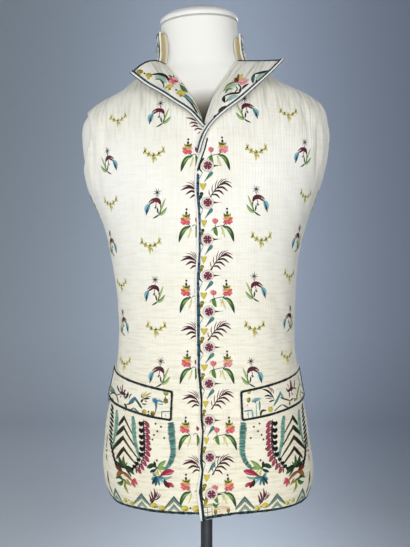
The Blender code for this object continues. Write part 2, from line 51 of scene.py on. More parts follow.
CLOTH = 0.0020
GAP = 0.0003
WALL = 0.0018  # the shown cloth, inside the part's own wall
HEM = 0.159
ARMPIT = 0.595
SHOULDER_END = 0.757
NECK_POINT = 0.818
NAPE = 0.832
COLLAR_TOP = 0.8645
NECK_TOP = 0.884
SIDE_TURN = 95.0
SHOULDER_TURN = 93.0
BUTTON_LINE = 0.0015
OVER_EDGE = 0.0130
UNDER_EDGE = 0.0130
OVERLAP_EASE = 0.018
CORNER_RADIUS = 0.038
VENT_TOP = 0.275
VENT_SPREAD = 2.2
SIDE_RISE = 0.0060
CORNER_DROP = 0.0072
DROP_WIDTH = 0.35
DROP_HEIGHT = 0.08
CORNER_TURN = 14.0  # the rounded corner's width, in degrees
TILT = math.radians(3.0)
TILT_FOOT = 0.50
TILT_FULL = 0.82
BUTTONS = 10
TOP_BUTTON = 0.651
BUTTON_PITCH = 0.0512
BUTTON_RADIUS = 0.0086
FORM_BOTTOM = 0.1628
FORM_EDGE = 0.008
CAP_RADIUS = 0.0600
CAP_HEIGHT = 0.0255
CAP_LIP = 0.0050
POLE_RADIUS = 0.0090
BASE_RADIUS = 0.150
BASE_THICKNESS = 0.008
COLLAR_STAND_OFF = 0.0046
COLLAR_TILT = 0.0050
COLLAR_SLANT = 0.06
COLLAR_SEAM = 0.0005
NECK_SEAM_GAP = 0.4
NECK_SEAM = 0.8120  # the neck's own seam
FACING = {1: (0.84, 10.5), -1: (0.94, 12.0)}  # how high it goes, and how far round in degrees
FACING_CUT = {1: (0.0135, 0.0390, 0.0005), -1: (0.0155, 0.0495, 0.00072)}  # width, length and area
MM = 0.001


def table(text):
    """A table of numbers, under a line that names its columns."""
    return np.array([row.split() for row in text.strip().splitlines()[1:]], float)


BODY = table("""
height half_width front back fullness
.148 .137 .115 .111 2.3
.162 .1468 .116 .1125 2.3
.18 .155 .117 .114 2.3
.205 .159 .1175 .116 2.3
.245 .1555 .1165 .115 2.3
.29 .1495 .1145 .111 2.28
.335 .14 .111 .102 2.25
.375 .1348 .108 .093 2.22
.415 .1328 .106 .0865 2.2
.45 .134 .1065 .086 2.2
.49 .137 .1085 .09 2.2
.535 .1438 .1125 .098 2.22
.575 .1535 .116 .105 2.24
.61 .1645 .1175 .11 2.24
.645 .1768 .1165 .1125 2.22
.68 .1868 .112 .1135 2.18
.71 .19 .1045 .1125 2.12
.735 .188 .095 .11 2.06
.752 .1775 .087 .1055 2
.7675 .1555 .079 .1 2
.783 .1245 .072 .094 2
.798 .1035 .067 .0875 2
.812 .08 .063 .08 2
.826 .0675 .061 .0725 2
.84 .0622 .0595 .0665 2
.86 .0597 .0585 .0612 2
.884 .059 .058 .058 2
""")

CLEARANCES = table("""
height inset
.15 .005
.3 .004
.415 .003
.6 .0026
.735 .0027
.8 .0026
.84 .0018
.862 .0009
.884 .0004
""")

SWAYS = table("""
height sideways
.15 .0045
.2 .003
.27 0
.44 0
.52 -.0024
.6 -.002
.7 -.0026
.82 -.0084
.884 -.0118
""")

FOLDS = {  # the part's own folds
    "front_left": table("""
x_low low x_high high width depth
.14 .716 .104 .79 .008 -.0018
.152 .7 .117 .782 .009 .0012
.165 .69 .13 .775 .009 -.0018
.164 .6 .169 .705 .009 -.002
.096 .345 .112 .472 .012 -.0016
.112 .365 .121 .46 .009 -.0013
"""),
    "front_right": table("""
x_low low x_high high width depth
.144 .69 .106 .785 .009 -.0018
.152 .598 .158 .7 .01 -.0018
.118 .35 .112 .445 .013 -.0013
"""),
    "back_left": table("""
x_low low x_high high width depth
.052 .37 .046 .52 .014 -.0016
.118 .61 .1 .745 .015 -.0018
"""),
    "back_right": table("""
x_low low x_high high width depth
.06 .36 .052 .5 .015 -.0018
.124 .6 .104 .73 .014 -.0016
"""),
}

CREASES = {  # smaller ones, all in millimetres: s is the distance round the body from the middle
    "front_right": table("""
s_start h_start s_end h_end width depth
100 770 72 705 5 .8
118 766 98 690 6 1
134 756 120 688 6 .9
158 690 168 610 6 1.2
176 660 182 600 5 .9
28 720 18 610 7 -.7
150 748 152 640 3.5 -1.5
166 744 172 650 4 1.2
178 730 184 640 3.5 -1.3
136 742 138 690 4 .9
190 690 196 620 4 1
60 300 14 306 4 .4
60 262 14 266 5 .4
100 203 30 199 5 .6
130 470 180 440 7 .9
120 420 178 404 7 .8
"""),
    "front_left": table("""
s_start h_start s_end h_end width depth
94 775 70 706 5 .8
108 772 92 690 6 1
126 764 118 690 6 .9
182 668 186 600 6 1.1
22 722 16 640 7 -.6
150 748 160 660 4 -1.2
178 732 186 620 4 -1.4
188 716 196 640 4 1
134 738 144 700 5 .9
12 262 62 258 4 .4
16 214 92 206 5 .6
16 288 50 292 4 .4
112 462 176 420 6 .9
110 404 170 388 6 .8
"""),
}

Roll = namedtuple("Roll", "x height")
ROLL = [
    Roll(0.0012, 0.7065),
    Roll(0.0088, 0.7300),
    Roll(0.0176, 0.7520),
    Roll(0.0276, 0.7712),
    Roll(0.0410, 0.7925),
    Roll(0.0545, 0.8120),
]
ROLL_START = {
    1: [Roll(BUTTON_LINE - OVER_EDGE, 0.6680), Roll(-0.0068, 0.6880)],
    -1: [Roll(-BUTTON_LINE - UNDER_EDGE, 0.6680), Roll(-0.0095, 0.6880)],
}
ROLL_ROWS = 10
LAPEL_SKIP = {1: 0, -1: 3}

LAPEL_EDGES = {
    1: table("""
x y height
-.01 -.1225 .67
-.0053 -.1215 .684
.0022 -.1185 .6985
.014 -.1145 .7145
.0317 -.1095 .73
.0538 -.104 .7454
.0794 -.0975 .7661
.0994 -.09 .7831
.1217 -.078 .8047
"""),
    -1: table("""
x y height
.0035 -.114 .7065
.0124 -.112 .7182
.0237 -.109 .7311
.0418 -.1045 .7448
.0615 -.0985 .7598
.0814 -.0915 .7738
.1038 -.08 .7949
"""),
}
LAPEL_BULGE = 0.007
LAPEL_FULL = 0.04
LAPEL_ARCH = {1: -0.004, -1: 0.009}

FLAP = table("""
turn top bottom
23.5 .333 .2905
38 .338 .2945
55 .345 .3015
70 .352 .3085
86 .361 .317
""")
FLAP_STAND_OFF = 0.0012
FLAP_RADIUS = 0.13
FLAP_END = 184.0  # how far round the embroidery goes, in millimetres


def paint(red, green, blue):
    """A thread's colour, given as it looks on a screen, as light."""
    return tuple((value / 255) ** 2.2 for value in (red, green, blue))


THREADS = {name: paint(*map(int, rgb)) for name, *rgb in map(str.split, """
plum 104 38 62
wine 54 24 38
mauve 160 90 112
ruby 176 38 72
maroon 96 22 34
coral 228 92 92
pink 240 150 160
blush 246 196 196
gold 222 204 84
hay 212 204 104
straw 238 228 150
olive 150 138 44
moss 78 68 30
grass 96 146 50
lime 168 194 118
pine 38 72 44
mist 178 202 178
teal 78 142 140
aqua 142 188 190
sky 132 190 214
navy 26 44 72
lake 44 92 98
slate 92 126 120
sage 124 150 134
ivy 70 94 84
dew 170 188 166
blue 62 122 168
peony 236 108 140
steel 58 88 116
raven 30 50 60
iron 84 112 134
soot 24 36 36
jet 14 12 14
jade 120 176 160
fir 72 124 112
mint 136 182 168
rose 172 70 94
claret 134 42 64
ink 30 28 32
ash 58 56 66
grey 112 104 108
rust 158 98 52
cream 240 230 212
white 250 246 236
shell 236 226 214
""".strip().splitlines())}
BLACK_GREENS = "soot raven soot"

BUTTON_SET = 0.0018
PIPING_HEIGHTS = (0.19, 0.23, 0.42, 0.50, 0.655, 0.668)
PIPING_RADII = {1: (0.0020, 0.0010, 0.0010, 0.0016, 0.0016, 0.0011), -1: (0.0010,) * 6}

# ---- smooth lines through short tables ----


def through(rows, keys, at):
    """The rows at some keys, by a smooth curve through every column of a table."""
    rows, keys = np.asarray(rows, float), np.asarray(keys, float)
    at = np.clip(np.asarray(at, float), keys[0], keys[-1])
    last = len(keys) - 1
    i = np.clip(np.searchsorted(keys, at, side="right") - 1, 0, last - 1)
    index = np.arange(last + 1)
    low, high = np.maximum(index - 1, 0), np.minimum(index + 1, last)
    slopes = (rows[high] - rows[low]) / (keys[high] - keys[low])[:, None]
    span = (keys[i + 1] - keys[i])[..., None]
    share = ((at - keys[i]) / (keys[i + 1] - keys[i]))[..., None]
    square, cube = share**2, share**3
    return (
        rows[i] * (2 * cube - 3 * square + 1)
        + slopes[i] * span * (cube - 2 * square + share)
        + rows[i + 1] * (3 * square - 2 * cube)
        + slopes[i + 1] * span * (cube - square)
    )


def travelled(points):
    """The distance gone at each point of a line."""
    return np.concatenate([[0], np.cumsum(np.linalg.norm(np.diff(points, axis=0), axis=1))])


def stepped(rows, count):
    """count + 1 places evenly along a smooth curve through the rows of a table."""
    rows = np.asarray(rows, float)
    keys = travelled(rows)
    return through(rows, keys, np.linspace(0, keys[-1], count + 1))


def eased(share):
    share = np.clip(share, 0.0, 1.0)
    return share * share * (3 - 2 * share)


def unit(vectors):
    return vectors / np.maximum(np.linalg.norm(vectors, axis=-1, keepdims=True), 1e-9)


# ---- the body ----


def radius_at(turn, height):
    section = through(BODY, BODY[:, 0], height)
    angle = np.radians(turn)
    along = np.cos(angle)
    depth = np.where(along > 0, section[..., 2], section[..., 3])
    power = section[..., 4]
    across = np.abs(np.sin(angle)) / section[..., 1]
    return (across**power + (np.abs(along) / depth) ** power) ** (-1 / power)


def upright(turn, height):
    turn, height = np.broadcast_arrays(np.asarray(turn, float), np.asarray(height, float))
    radius, angle = radius_at(turn, height), np.radians(turn)
    return np.stack([radius * np.sin(angle), -radius * np.cos(angle), height], -1)


def leaned(points):
    x, y, z = points[..., 0], points[..., 1], points[..., 2]
    tilt = TILT * np.clip((z - TILT_FOOT) / (TILT_FULL - TILT_FOOT), 0, 1)
    sideways = through(SWAYS, SWAYS[:, 0], z)[..., 1]
    return np.stack([x * np.cos(tilt) + sideways, y, z + x * np.sin(tilt)], -1)


def outward(turn, height):
    sideways = upright(turn + 0.5, height) - upright(turn - 0.5, height)
    upwards = upright(turn, height + 0.001) - upright(turn, height - 0.001)
    return unit(np.cross(sideways, upwards))


def on_body(turn, height, lift=0.0):
    lift = np.asarray(lift, float)[..., None]
    return leaned(upright(turn, height) + outward(turn, height) * lift)


def turn_at(x, height):
    """The turn at which the front of the body is at x."""
    low, high = np.full(np.shape(height), -89.0), np.full(np.shape(height), 89.0)
    for _ in range(30):
        middle = (low + high) / 2
        short = upright(middle, height)[..., 0] < x
        low, high = np.where(short, middle, low), np.where(short, high, middle)
    return (low + high) / 2


LEVELS = np.arange(0.146, 0.8461, 0.004)
TURNS = np.arange(-18.0, 181.0, 0.5)
DISTANCES = np.arange(-0.034, 0.520, 0.002)


def arcs_round_the_body():
    points = upright(*np.meshgrid(TURNS, LEVELS))
    steps = np.linalg.norm(np.diff(points, axis=1), axis=-1)
    arcs = np.concatenate([np.zeros((len(LEVELS), 1)), np.cumsum(steps, axis=1)], axis=1)
    middle = int(np.argmin(np.abs(TURNS)))
    return arcs - arcs[:, middle : middle + 1]


ARCS = arcs_round_the_body()
TURN_TABLE = np.array([np.interp(DISTANCES, row, TURNS) for row in ARCS])


def looked_up(table, levels, columns, level, column):
    """The value of an even table between its entries."""
    level, column = np.asarray(level, float), np.asarray(column, float)
    i = np.clip((level - levels[0]) / (levels[1] - levels[0]), 0, len(levels) - 1.001)
    j = np.clip((column - columns[0]) / (columns[1] - columns[0]), 0, len(columns) - 1.001)
    i, j = np.broadcast_arrays(i, j)
    i0, j0 = i.astype(int), j.astype(int)
    a, b = i - i0, j - j0
    low = table[i0, j0] * (1 - b) + table[i0, j0 + 1] * b
    high = table[i0 + 1, j0] * (1 - b) + table[i0 + 1, j0 + 1] * b
    return low * (1 - a) + high * a


def distance_at(turn, height):
    return looked_up(ARCS, LEVELS, TURNS, height, turn)


def turn_for(distance, height):
    return looked_up(TURN_TABLE, LEVELS, DISTANCES, height, distance)


# ---- what moves the cloth in and out ----


def fold_lift(panel, turn, height):
    distance = np.abs(upright(turn, height)[..., 0])
    lift = np.zeros(np.shape(distance))
    for x_low, low, x_high, high, width, depth in FOLDS[panel]:
        share = np.clip((height - low) / (high - low), 0, 1)
        across = (distance - (x_low + (x_high - x_low) * share)) / width
        lift += depth * np.sin(math.pi * share) * np.exp(-across * across)
    return lift


def crease_lift(panel, s, height):
    """The smaller creases, and a faint waviness over the whole panel."""
    s, height = np.broadcast_arrays(s / MM, height / MM)
    lift = np.zeros(s.shape)
    for s_start, h_start, s_end, h_end, width, depth in CREASES.get(panel, ()):
        length = math.hypot(s_end - s_start, h_end - h_start)
        run_s, run_h = (s_end - s_start) / length, (h_end - h_start) / length
        along = (s - s_start) * run_s + (height - h_start) * run_h
        across = (s - s_start) * -run_h + (height - h_start) * run_s
        share = np.clip(along / length, 0, 1)
        wander = across - 3.0 * np.sin(share * 5.0 + s_start)
        lift += depth * np.sin(math.pi * share) * np.exp(-((wander / width) ** 2))
    waves = np.random.default_rng(len(panel) * 7)
    for _ in range(9):
        direction = waves.uniform(0, math.pi)
        length = waves.uniform(26, 80)
        phase = waves.uniform(0, 2 * math.pi)
        travel = (s * math.cos(direction) + height * math.sin(direction)) / length
        lift += 0.11 * np.sin(2 * math.pi * travel + phase)
    if panel.startswith("front"):  # the worked lower part draws up in short level ripples
        low = np.clip((400 - height) / 110, 0, 1)
        drift = 0.40 * np.sin(s / 23 + len(panel)) + 0.22 * np.sin(s / 9.5)
        ripple = np.sin(2 * math.pi * (height / 12.5 + drift))
        lift += 0.34 * low * ripple * (0.55 + 0.45 * np.sin(s / 29 + height / 41))
        high = np.clip((height - 700) / 60, 0, 1) * np.clip((s - 40) / 40, 0, 1)
        gather = np.sin(2 * math.pi * (s / 11.5 + 0.3 * np.sin(height / 27) + 0.25 * np.sin(s / 17)))
        lift += 0.32 * high * gather * (0.6 + 0.4 * np.sin(s / 13 + height / 35))
    return lift * MM + gape_lift(panel, s, height)


def gape_lift(panel, s, height):
    """How the cloth stands away at the foot of each armhole, in metres."""
    tall = np.clip(1 - ((height - 628) / 52) ** 2, 0, 1)
    side = np.exp(-(((s - 226) / 42) ** 2))
    return (0.0052 if panel.endswith("right") else 0.0036) * tall**1.5 * side


def overlap_lift(x):
    covered = BUTTON_LINE + UNDER_EDGE + 0.004
    return (CLOTH + 2 * GAP) * eased((covered + OVERLAP_EASE - x) / OVERLAP_EASE)


WANDERS = table("""
height sideways
.154 .0009
.1655 .0002
.18 -.0013
.194 -.0031
.208 -.001
.222 .0017
.236 .0002
.25 .0016
.2645 .0036
.279 .0044
.293 .0023
.307 .0022
.321 .0026
.342 .0004
.363 -.0018
.405 -.0028
.448 -.0028
.491 -.0015
.505 0
.519 .0013
.533 .0023
.547 .0019
.5615 .0021
.576 .0016
.59 .0007
.604 -.0008
.618 -.0014
.632 -.0012
.646 -.0006
.6605 .0023
.674 .0045
.688 .0042
.704 .0016
.722 0
""")
WANDER_REACH = 0.030


def wandered(x, height):
    """How far the left front's hand-sewn edge strays to the side, less with the distance from it."""
    near = np.clip(1 - (x - ROLL_START[1][0].x) / WANDER_REACH, 0, 1) ** 2
    return np.interp(height, WANDERS[:, 0], WANDERS[:, 1]) * near


def front_by_turn(side):
    """Where a place on a front is: by its turn to its own side and its height."""
    panel = "front_left" if side > 0 else "front_right"
    inner_turns = turn_at(ROLL_START[side][0].x, LEVELS)

    def place(turn, height, lift=0.0):
        inner = np.interp(height, LEVELS, inner_turns)
        share = np.clip((turn - inner) / (SIDE_TURN - CORNER_TURN - inner), 0, 1)
        near_hem = np.clip(1 - (height - HEM) / DROP_HEIGHT, 0, 1) ** 2
        lowered = height + SIDE_RISE * share**3 * near_hem
        if side > 0:
            lowered = lowered - CORNER_DROP * np.clip(1 - share / DROP_WIDTH, 0, 1) ** 2 * near_hem
        out = fold_lift(panel, turn, height) + crease_lift(panel, distance_at(turn, height), height)
        if side > 0:
            x = upright(turn, height)[..., 0]
            out = out + overlap_lift(x)
            turn = turn + np.degrees(wandered(x, height) / 0.11)
        return on_body(side * turn, lowered, out + lift)

    return place


def back_by_turn(side):
    panel = "back_left" if side > 0 else "back_right"

    def place(turn, height, lift=0.0):
        out = fold_lift(panel, turn, height) + crease_lift(panel, distance_at(turn, height), height)
        return on_body(side * turn, height, out + lift)

    return place


def flap_edges():
    along = np.stack([np.radians(FLAP[:, 0]) * FLAP_RADIUS, FLAP[:, 1], FLAP[:, 2]], 1)
    edges = stepped(along, 60)
    return np.degrees(edges[:, 0] / FLAP_RADIUS), edges[:, 1], edges[:, 2]


FLAP_TURNS, FLAP_TOPS, FLAP_BOTTOMS = flap_edges()


def flap_by_turn(side):
    under = front_by_turn(side)

    def place(turn, height, lift=0.0):
        top = np.interp(turn, FLAP_TURNS, FLAP_TOPS)
        bottom = np.interp(turn, FLAP_TURNS, FLAP_BOTTOMS)
        share = np.clip((height - bottom) / (top - bottom), 0, 1)
        return under(turn, height, CLOTH + 2 * GAP + FLAP_STAND_OFF * (1 - share) + lift)

    return place


def by_distance(place, wall=WALL):
    """The same place, by the distance round the body and the height, on top of the cloth."""

    def laid(spots, lift):
        return place(turn_for(spots[:, 0], spots[:, 1]), spots[:, 1], wall + lift)

    return laid


# ---- outlines of the panels, as turns and heights ----

ARMHOLE_SHARES = (0.00, 0.15, 0.30, 0.40, 0.46, 0.52, 0.62, 0.75, 0.85, 0.93, 1.00)
ARMHOLE_FRONT = {
    1: np.stack([ARMHOLE_SHARES, (0, 0.8, 1.6, 3.4, 6.5, 9.0, 11.5, 11.0, 8.0, 4.0, 0)], 1),
    -1: np.stack([ARMHOLE_SHARES, (0, 0.8, 2.0, 5.0, 12.0, 17.5, 20.5, 18.0, 11.0, 5.0, 0)], 1),
}
ARMHOLE_BACK = table("""
share degrees
0 0
.1 -8
.25 -16
.5 -21
.75 -16
.9 -8
1 0
""")
LOWER_ROWS = 86
UPPER_FACTOR = 5
FRONT_COLUMNS = 84
BACK_COLUMNS = 70


def hem_heights():
    corner = [HEM + CORNER_RADIUS * (1 - math.cos(math.pi / 2 * i / 14)) for i in range(15)]
    rise = ARMPIT - corner[-1]
    return np.array(corner + [corner[-1] + rise * i / LOWER_ROWS for i in range(1, LOWER_ROWS + 1)])


def side_edge(direction, heights):
    open_share = eased((VENT_TOP - heights) / (VENT_TOP - HEM))
    turn = SIDE_TURN + direction * VENT_SPREAD * open_share
    radius = radius_at(SIDE_TURN, heights)
    if direction < 0:
        inside = np.clip(CORNER_RADIUS - (heights - HEM), 0, CORNER_RADIUS)
        rounded = CORNER_RADIUS - np.sqrt(CORNER_RADIUS**2 - inside**2)
        turn = turn - np.degrees(rounded / radius)
    return turn + direction * np.degrees(GAP / 2 / radius)


def armhole(cuts, count):
    """The armhole's edge from the armpit up, from a table of how far it is cut in, in degrees."""
    share = np.arange(count + 1) / count
    middle, reach = (ARMPIT + SHOULDER_END) / 2, (SHOULDER_END - ARMPIT) / 2
    seam = SIDE_TURN + (SHOULDER_TURN - SIDE_TURN) * share
    cut = through(cuts, cuts[:, 0], share)[:, 1]
    return np.stack([seam - cut, middle - reach * np.cos(np.pi * share)], 1)


def line(start, end, count):
    return np.linspace(start, end, count + 1)


def roll_line(side, factor=UPPER_FACTOR):
    places = stepped(ROLL_START[side] + ROLL, ROLL_ROWS * factor)
    return np.stack([turn_at(places[:, 0], places[:, 1]), places[:, 1]], 1)


def front_neckline(factor=UPPER_FACTOR):
    start = (float(turn_at(ROLL[-1].x, ROLL[-1].height)), ROLL[-1].height)
    return line(start, (SHOULDER_TURN - 0.1, NECK_POINT), 4 * factor)


def back_neckline(count=64):
    share = np.arange(count + 1) / count
    reach = SHOULDER_TURN + NECK_SEAM_GAP - 180
    return np.stack([180 + reach * share, NAPE + (NECK_POINT - NAPE) * eased(share)], 1)


def between(left, right, columns):
    """Turns and heights filled in between two edges with the same number of places."""
    share = np.linspace(0, 1, columns + 1)[None, :, None]
    return left[:, None, :] * (1 - share) + right[:, None, :] * share


def front_outline(side):
    """The front's two long edges, from the hem up: its front edge with the neck, and its side."""
    heights = hem_heights()
    edge_x, top = ROLL_START[side][0].x, ROLL_START[side][0].height
    inner = np.stack([turn_at(edge_x, heights), heights], 1)
    rise = np.linspace(ARMPIT, top, 4 * UPPER_FACTOR + 1)
    up = np.stack([turn_at(edge_x, rise), rise], 1)
    left = np.concatenate([inner, up[1:], roll_line(side)[1:], front_neckline()[1:]])
    hole = armhole(ARMHOLE_FRONT[side], 18 * UPPER_FACTOR)
    hole[-1] = (SHOULDER_TURN - 0.1, SHOULDER_END)
    right = np.concatenate([np.stack([side_edge(-1, heights), heights], 1), hole[1:]])
    return left, right


def back_outline():
    """The back's two long edges, and the neck and shoulder line over them."""
    heights = hem_heights()
    centre = np.degrees(GAP / 2 / through(BODY, BODY[:, 0], heights)[:, 3])
    inner = np.stack([180 - centre, heights], 1)
    left = np.concatenate([inner, line(inner[-1], (inner[-1, 0], NAPE), 18 * UPPER_FACTOR)[1:]])
    hole = armhole(ARMHOLE_BACK, 18 * UPPER_FACTOR)
    hole[-1] = (SHOULDER_TURN + 0.2, SHOULDER_END)
    right = np.concatenate([np.stack([side_edge(1, heights), heights], 1), hole[1:]])
    neck = back_neckline(BACK_COLUMNS * 4 // 7)
    neck[0] = left[-1]
    shoulder = line(neck[-1], right[-1], BACK_COLUMNS - len(neck) + 1)
    return left, right, np.concatenate([neck, shoulder[1:]])


def back_grid():
    left, right, top = back_outline()
    grid = between(left, right, BACK_COLUMNS)
    start = len(hem_heights()) - 1
    rise = (np.arange(len(left)) - start).clip(0) / (len(left) - 1 - start)
    straight = line(left[-1], right[-1], BACK_COLUMNS)
    return grid + rise[:, None, None] * (top - straight)[None, :, :]


# ---- making meshes ----


def new_piece(name, mesh, finish, slot, *nodes):
    """A mesh as a named piece that moves with the part."""
    piece = bpy.data.objects.new(name, mesh)
    bpy.context.scene.collection.objects.link(piece)
    return settle(piece, finish, slot, *nodes)


def settle(piece, finish, slot, *nodes):
    piece.data.materials.clear()
    piece.data.materials.append(finish)
    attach(piece, "root")
    if nodes:
        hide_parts(*nodes)
    return piece


def walled(piece, thickness=WALL):
    """Grows a sheet's wall outwards."""
    wall = piece.modifiers.new("wall", "SOLIDIFY")
    wall.thickness = thickness
    wall.offset = 1.0


def grid_faces(rows, columns, closed=False, flipped=False):
    """Quads over a grid of rows and columns of points."""
    wide = columns if closed else columns - 1
    i, j = np.meshgrid(np.arange(rows - 1), np.arange(wide), indexing="ij")
    i, j = i.ravel(), j.ravel()
    k = (j + 1) % columns
    quads = np.stack([i * columns + j, i * columns + k, (i + 1) * columns + k, (i + 1) * columns + j], 1)
    return quads[:, ::-1] if flipped else quads


def mesh_from(name, points, faces, patterns=None, colours=None):
    """A smooth mesh, with a place on the cloth's pattern and a thread colour for each point."""
    mesh = bpy.data.meshes.new(name)
    mesh.from_pydata(points.reshape(-1, 3).tolist(), [], [list(map(int, face)) for face in faces])
    corners = np.empty(len(mesh.loops), np.int32)
    mesh.loops.foreach_get("vertex_index", corners)
    if patterns is not None:
        layer = mesh.uv_layers.new(name="cloth")
        patterns = patterns.reshape(-1, 2)[corners]
        layer.data.foreach_set("uv", np.ascontiguousarray(patterns, np.float32).ravel())
    if colours is not None:
        layer = mesh.color_attributes.new(name="thread", type="FLOAT_COLOR", domain="POINT")
        opaque = np.concatenate([colours, np.ones((len(colours), 1))], 1)
        layer.data.foreach_set("color", np.ascontiguousarray(opaque, np.float32).ravel())
    mesh.shade_smooth()
    return mesh


def sheet(name, grid, place, finish, slot, node, flipped, patterns=None):
    """A panel of cloth over a grid of turns and heights, with its wall grown outwards."""
    turns, heights = grid[..., 0], grid[..., 1]
    points = place(turns, heights)
    if patterns is None:
        patterns = np.stack([distance_at(turns, heights), heights], -1)
    faces = grid_faces(*turns.shape, flipped=flipped)
    mesh = mesh_from(name, points, faces, patterns)
    piece = new_piece(name, mesh, finish, slot, node)
    walled(piece)
    return piece


def cord(points, radius, sides=8):
    """The points, faces and lengthwise pattern of a round cord along a line, closed at both ends."""
    points = np.asarray(points, float)
    ahead = unit(np.gradient(points, axis=0))
    side = np.cross(ahead, np.array([0.31, 0.17, 0.93]))
    side = unit(side)
    over = np.cross(ahead, side)
    angle = np.linspace(0, 2 * math.pi, sides, endpoint=False)
    ring = np.cos(angle)[None, :, None] * side[:, None] + np.sin(angle)[None, :, None] * over[:, None]
    radius = np.broadcast_to(np.asarray(radius, float), (len(points),))
    skin = points[:, None] + ring * radius[:, None, None]
    faces = [tuple(face) for face in grid_faces(len(points), sides, closed=True)]
    faces.append(tuple(range(sides))[::-1])
    faces.append(tuple((len(points) - 1) * sides + i for i in range(sides)))
    travel = travelled(points)
    pattern = np.stack(
        [
            np.repeat(travel, sides),
            np.tile(np.abs(angle / math.pi - 1), len(points)),
        ],
        1,
    )
    return skin.reshape(-1, 3), faces, pattern


class Needlework:
    """Stitches gathered into one mesh. The surface turns flat places and lifts into points."""

    ACROSS = np.array([-1.0, -0.62, 0.0, 0.62, 1.0, 0.0])
    CROWN = np.array([0.0, 0.82, 1.0, 0.82, 0.0, -0.35])

    def __init__(self, surface, side=1):
        self.surface = surface
        self.side = side
        self.spots, self.lifts, self.colours, self.patterns, self.faces = [], [], [], [], []
        self.count = 0

    def stroke(self, points, width, colours, shape="leaf", rise=0.45, layer=0, shade=None, steps=None):
        """One satin stroke. Points, width and rise are in millimetres, and layer lifts it over others."""
        points = np.asarray(points, float)
        keys = travelled(points)
        steps = int(steps or np.clip(keys[-1] / 1.8, 4, 9))
        share = np.linspace(0, 1, steps + 1)
        middle = through(points, keys, share * keys[-1])
        ahead = unit(np.gradient(middle, axis=0))
        sideways = np.stack([-ahead[:, 1], ahead[:, 0]], 1)
        self.lay(middle, sideways, share, width / 2 * SHAPES[shape](share), colours, rise, layer, shade)

    def peak(self, feet, widths, colours, rise=0.55, layer=0, shade=None):
        """A chevron from foot to peak to foot: straight arms, mitred where they meet."""
        feet = np.asarray(feet, float)
        places = np.linspace(0, 2, 9)
        middle = np.stack([np.interp(places, [0, 1, 2], feet[:, c]) for c in (0, 1)], 1)
        upright_cut = (0.0, 1.0 if feet[2, 0] > feet[0, 0] else -1.0)
        share = places / 2
        half = np.interp(share, np.linspace(0, 1, len(widths)), widths) / 2
        self.lay(middle, np.tile(upright_cut, (9, 1)), share, half, colours, rise, layer, shade)

    def ladder(self, points, widths, tones, pitch, rise=0.5):
        """A band filled with short stitches laid across it, each in one of the tones."""
        points = np.asarray(points, float)
        keys = travelled(points)
        count = int(keys[-1] / pitch)
        at = np.linspace(0, keys[-1], count)
        middle = through(points, keys, at)
        ahead = unit(np.gradient(middle, axis=0))
        chance = np.random.default_rng(count)
        tones = tones.split()
        for number in range(count):
            along, (x, y) = ahead[number], middle[number]
            half = np.interp(number / count, np.linspace(0, 1, len(widths)), widths) / 2
            reach = half * chance.uniform(0.86, 1.06)
            slip = chance.uniform(-0.5, 0.5)
            tone, other = (tones[chance.integers(len(tones))] for _ in range(2))
            ends = [
                (x + along[1] * reach + along[0] * slip, y - along[0] * reach + along[1] * slip),
                (x - along[1] * reach - along[0] * slip, y + along[0] * reach - along[1] * slip),
            ]
            self.stroke(ends, pitch * 1.6, [tone, other], "swell", rise, number % 2, steps=4)

    def lay(self, middle, sideways, share, half, colours, rise, layer, shade):
        """The mesh of one stroke, from its middle line and its half widths."""
        steps = len(share) - 1
        travel = np.linalg.norm(np.diff(middle, axis=0), axis=1).sum()
        spots = middle[:, None] + sideways[:, None] * (half[:, None] * self.ACROSS)[..., None]
        lifts = self.CROWN[None] * rise * (0.35 + 0.65 * half / half.max())[:, None] + layer * 0.16
        words = colours.split() if isinstance(colours, str) else colours
        tones = np.array([THREADS[word] for word in words])
        keys = np.linspace(0, 1, len(words))
        tones = np.stack([np.interp(share, keys, tones[:, c]) for c in range(3)], 1)
        tones = np.repeat(tones[:, None], 6, axis=1)
        if shade is not None:
            weight = (0.5 + 0.5 * self.ACROSS)[None, :, None]
            tones = tones * (1 - weight) + np.array(THREADS[shade]) * weight
        pattern = np.stack(
            np.broadcast_arrays((share * travel)[:, None], half[:, None] * self.ACROSS), -1
        )
        self.spots.append(spots.reshape(-1, 2) * MM)
        self.lifts.append(lifts.ravel() * MM)
        self.colours.append(tones.reshape(-1, 3))
        self.patterns.append(pattern.reshape(-1, 2) * MM)
        start, size = self.count, (steps + 1) * 6
        self.faces += [tuple(f + start) for f in grid_faces(steps + 1, 6, closed=True)]
        self.faces.append(tuple(start + i for i in range(6))[::-1])
        self.faces.append(tuple(start + size - 6 + i for i in range(6)))
        self.count += size

    def dot(self, x, y, radius, colour, rise=0.6, layer=0):
        self.stroke([(x - radius, y), (x + radius, y)], 2 * radius, colour, "round", rise, layer, steps=4)

    def outward_faces(self):
        return [face[::-1] for face in self.faces] if self.side > 0 else self.faces

    def piece(self, name, finish, slot):
        spots, lifts = np.concatenate(self.spots), np.concatenate(self.lifts)
        points = self.surface(spots, lifts)
        patterns, colours = np.concatenate(self.patterns), np.concatenate(self.colours)
        mesh = mesh_from(name, points, self.outward_faces(), patterns, colours)
        return new_piece(name, mesh, finish, slot)


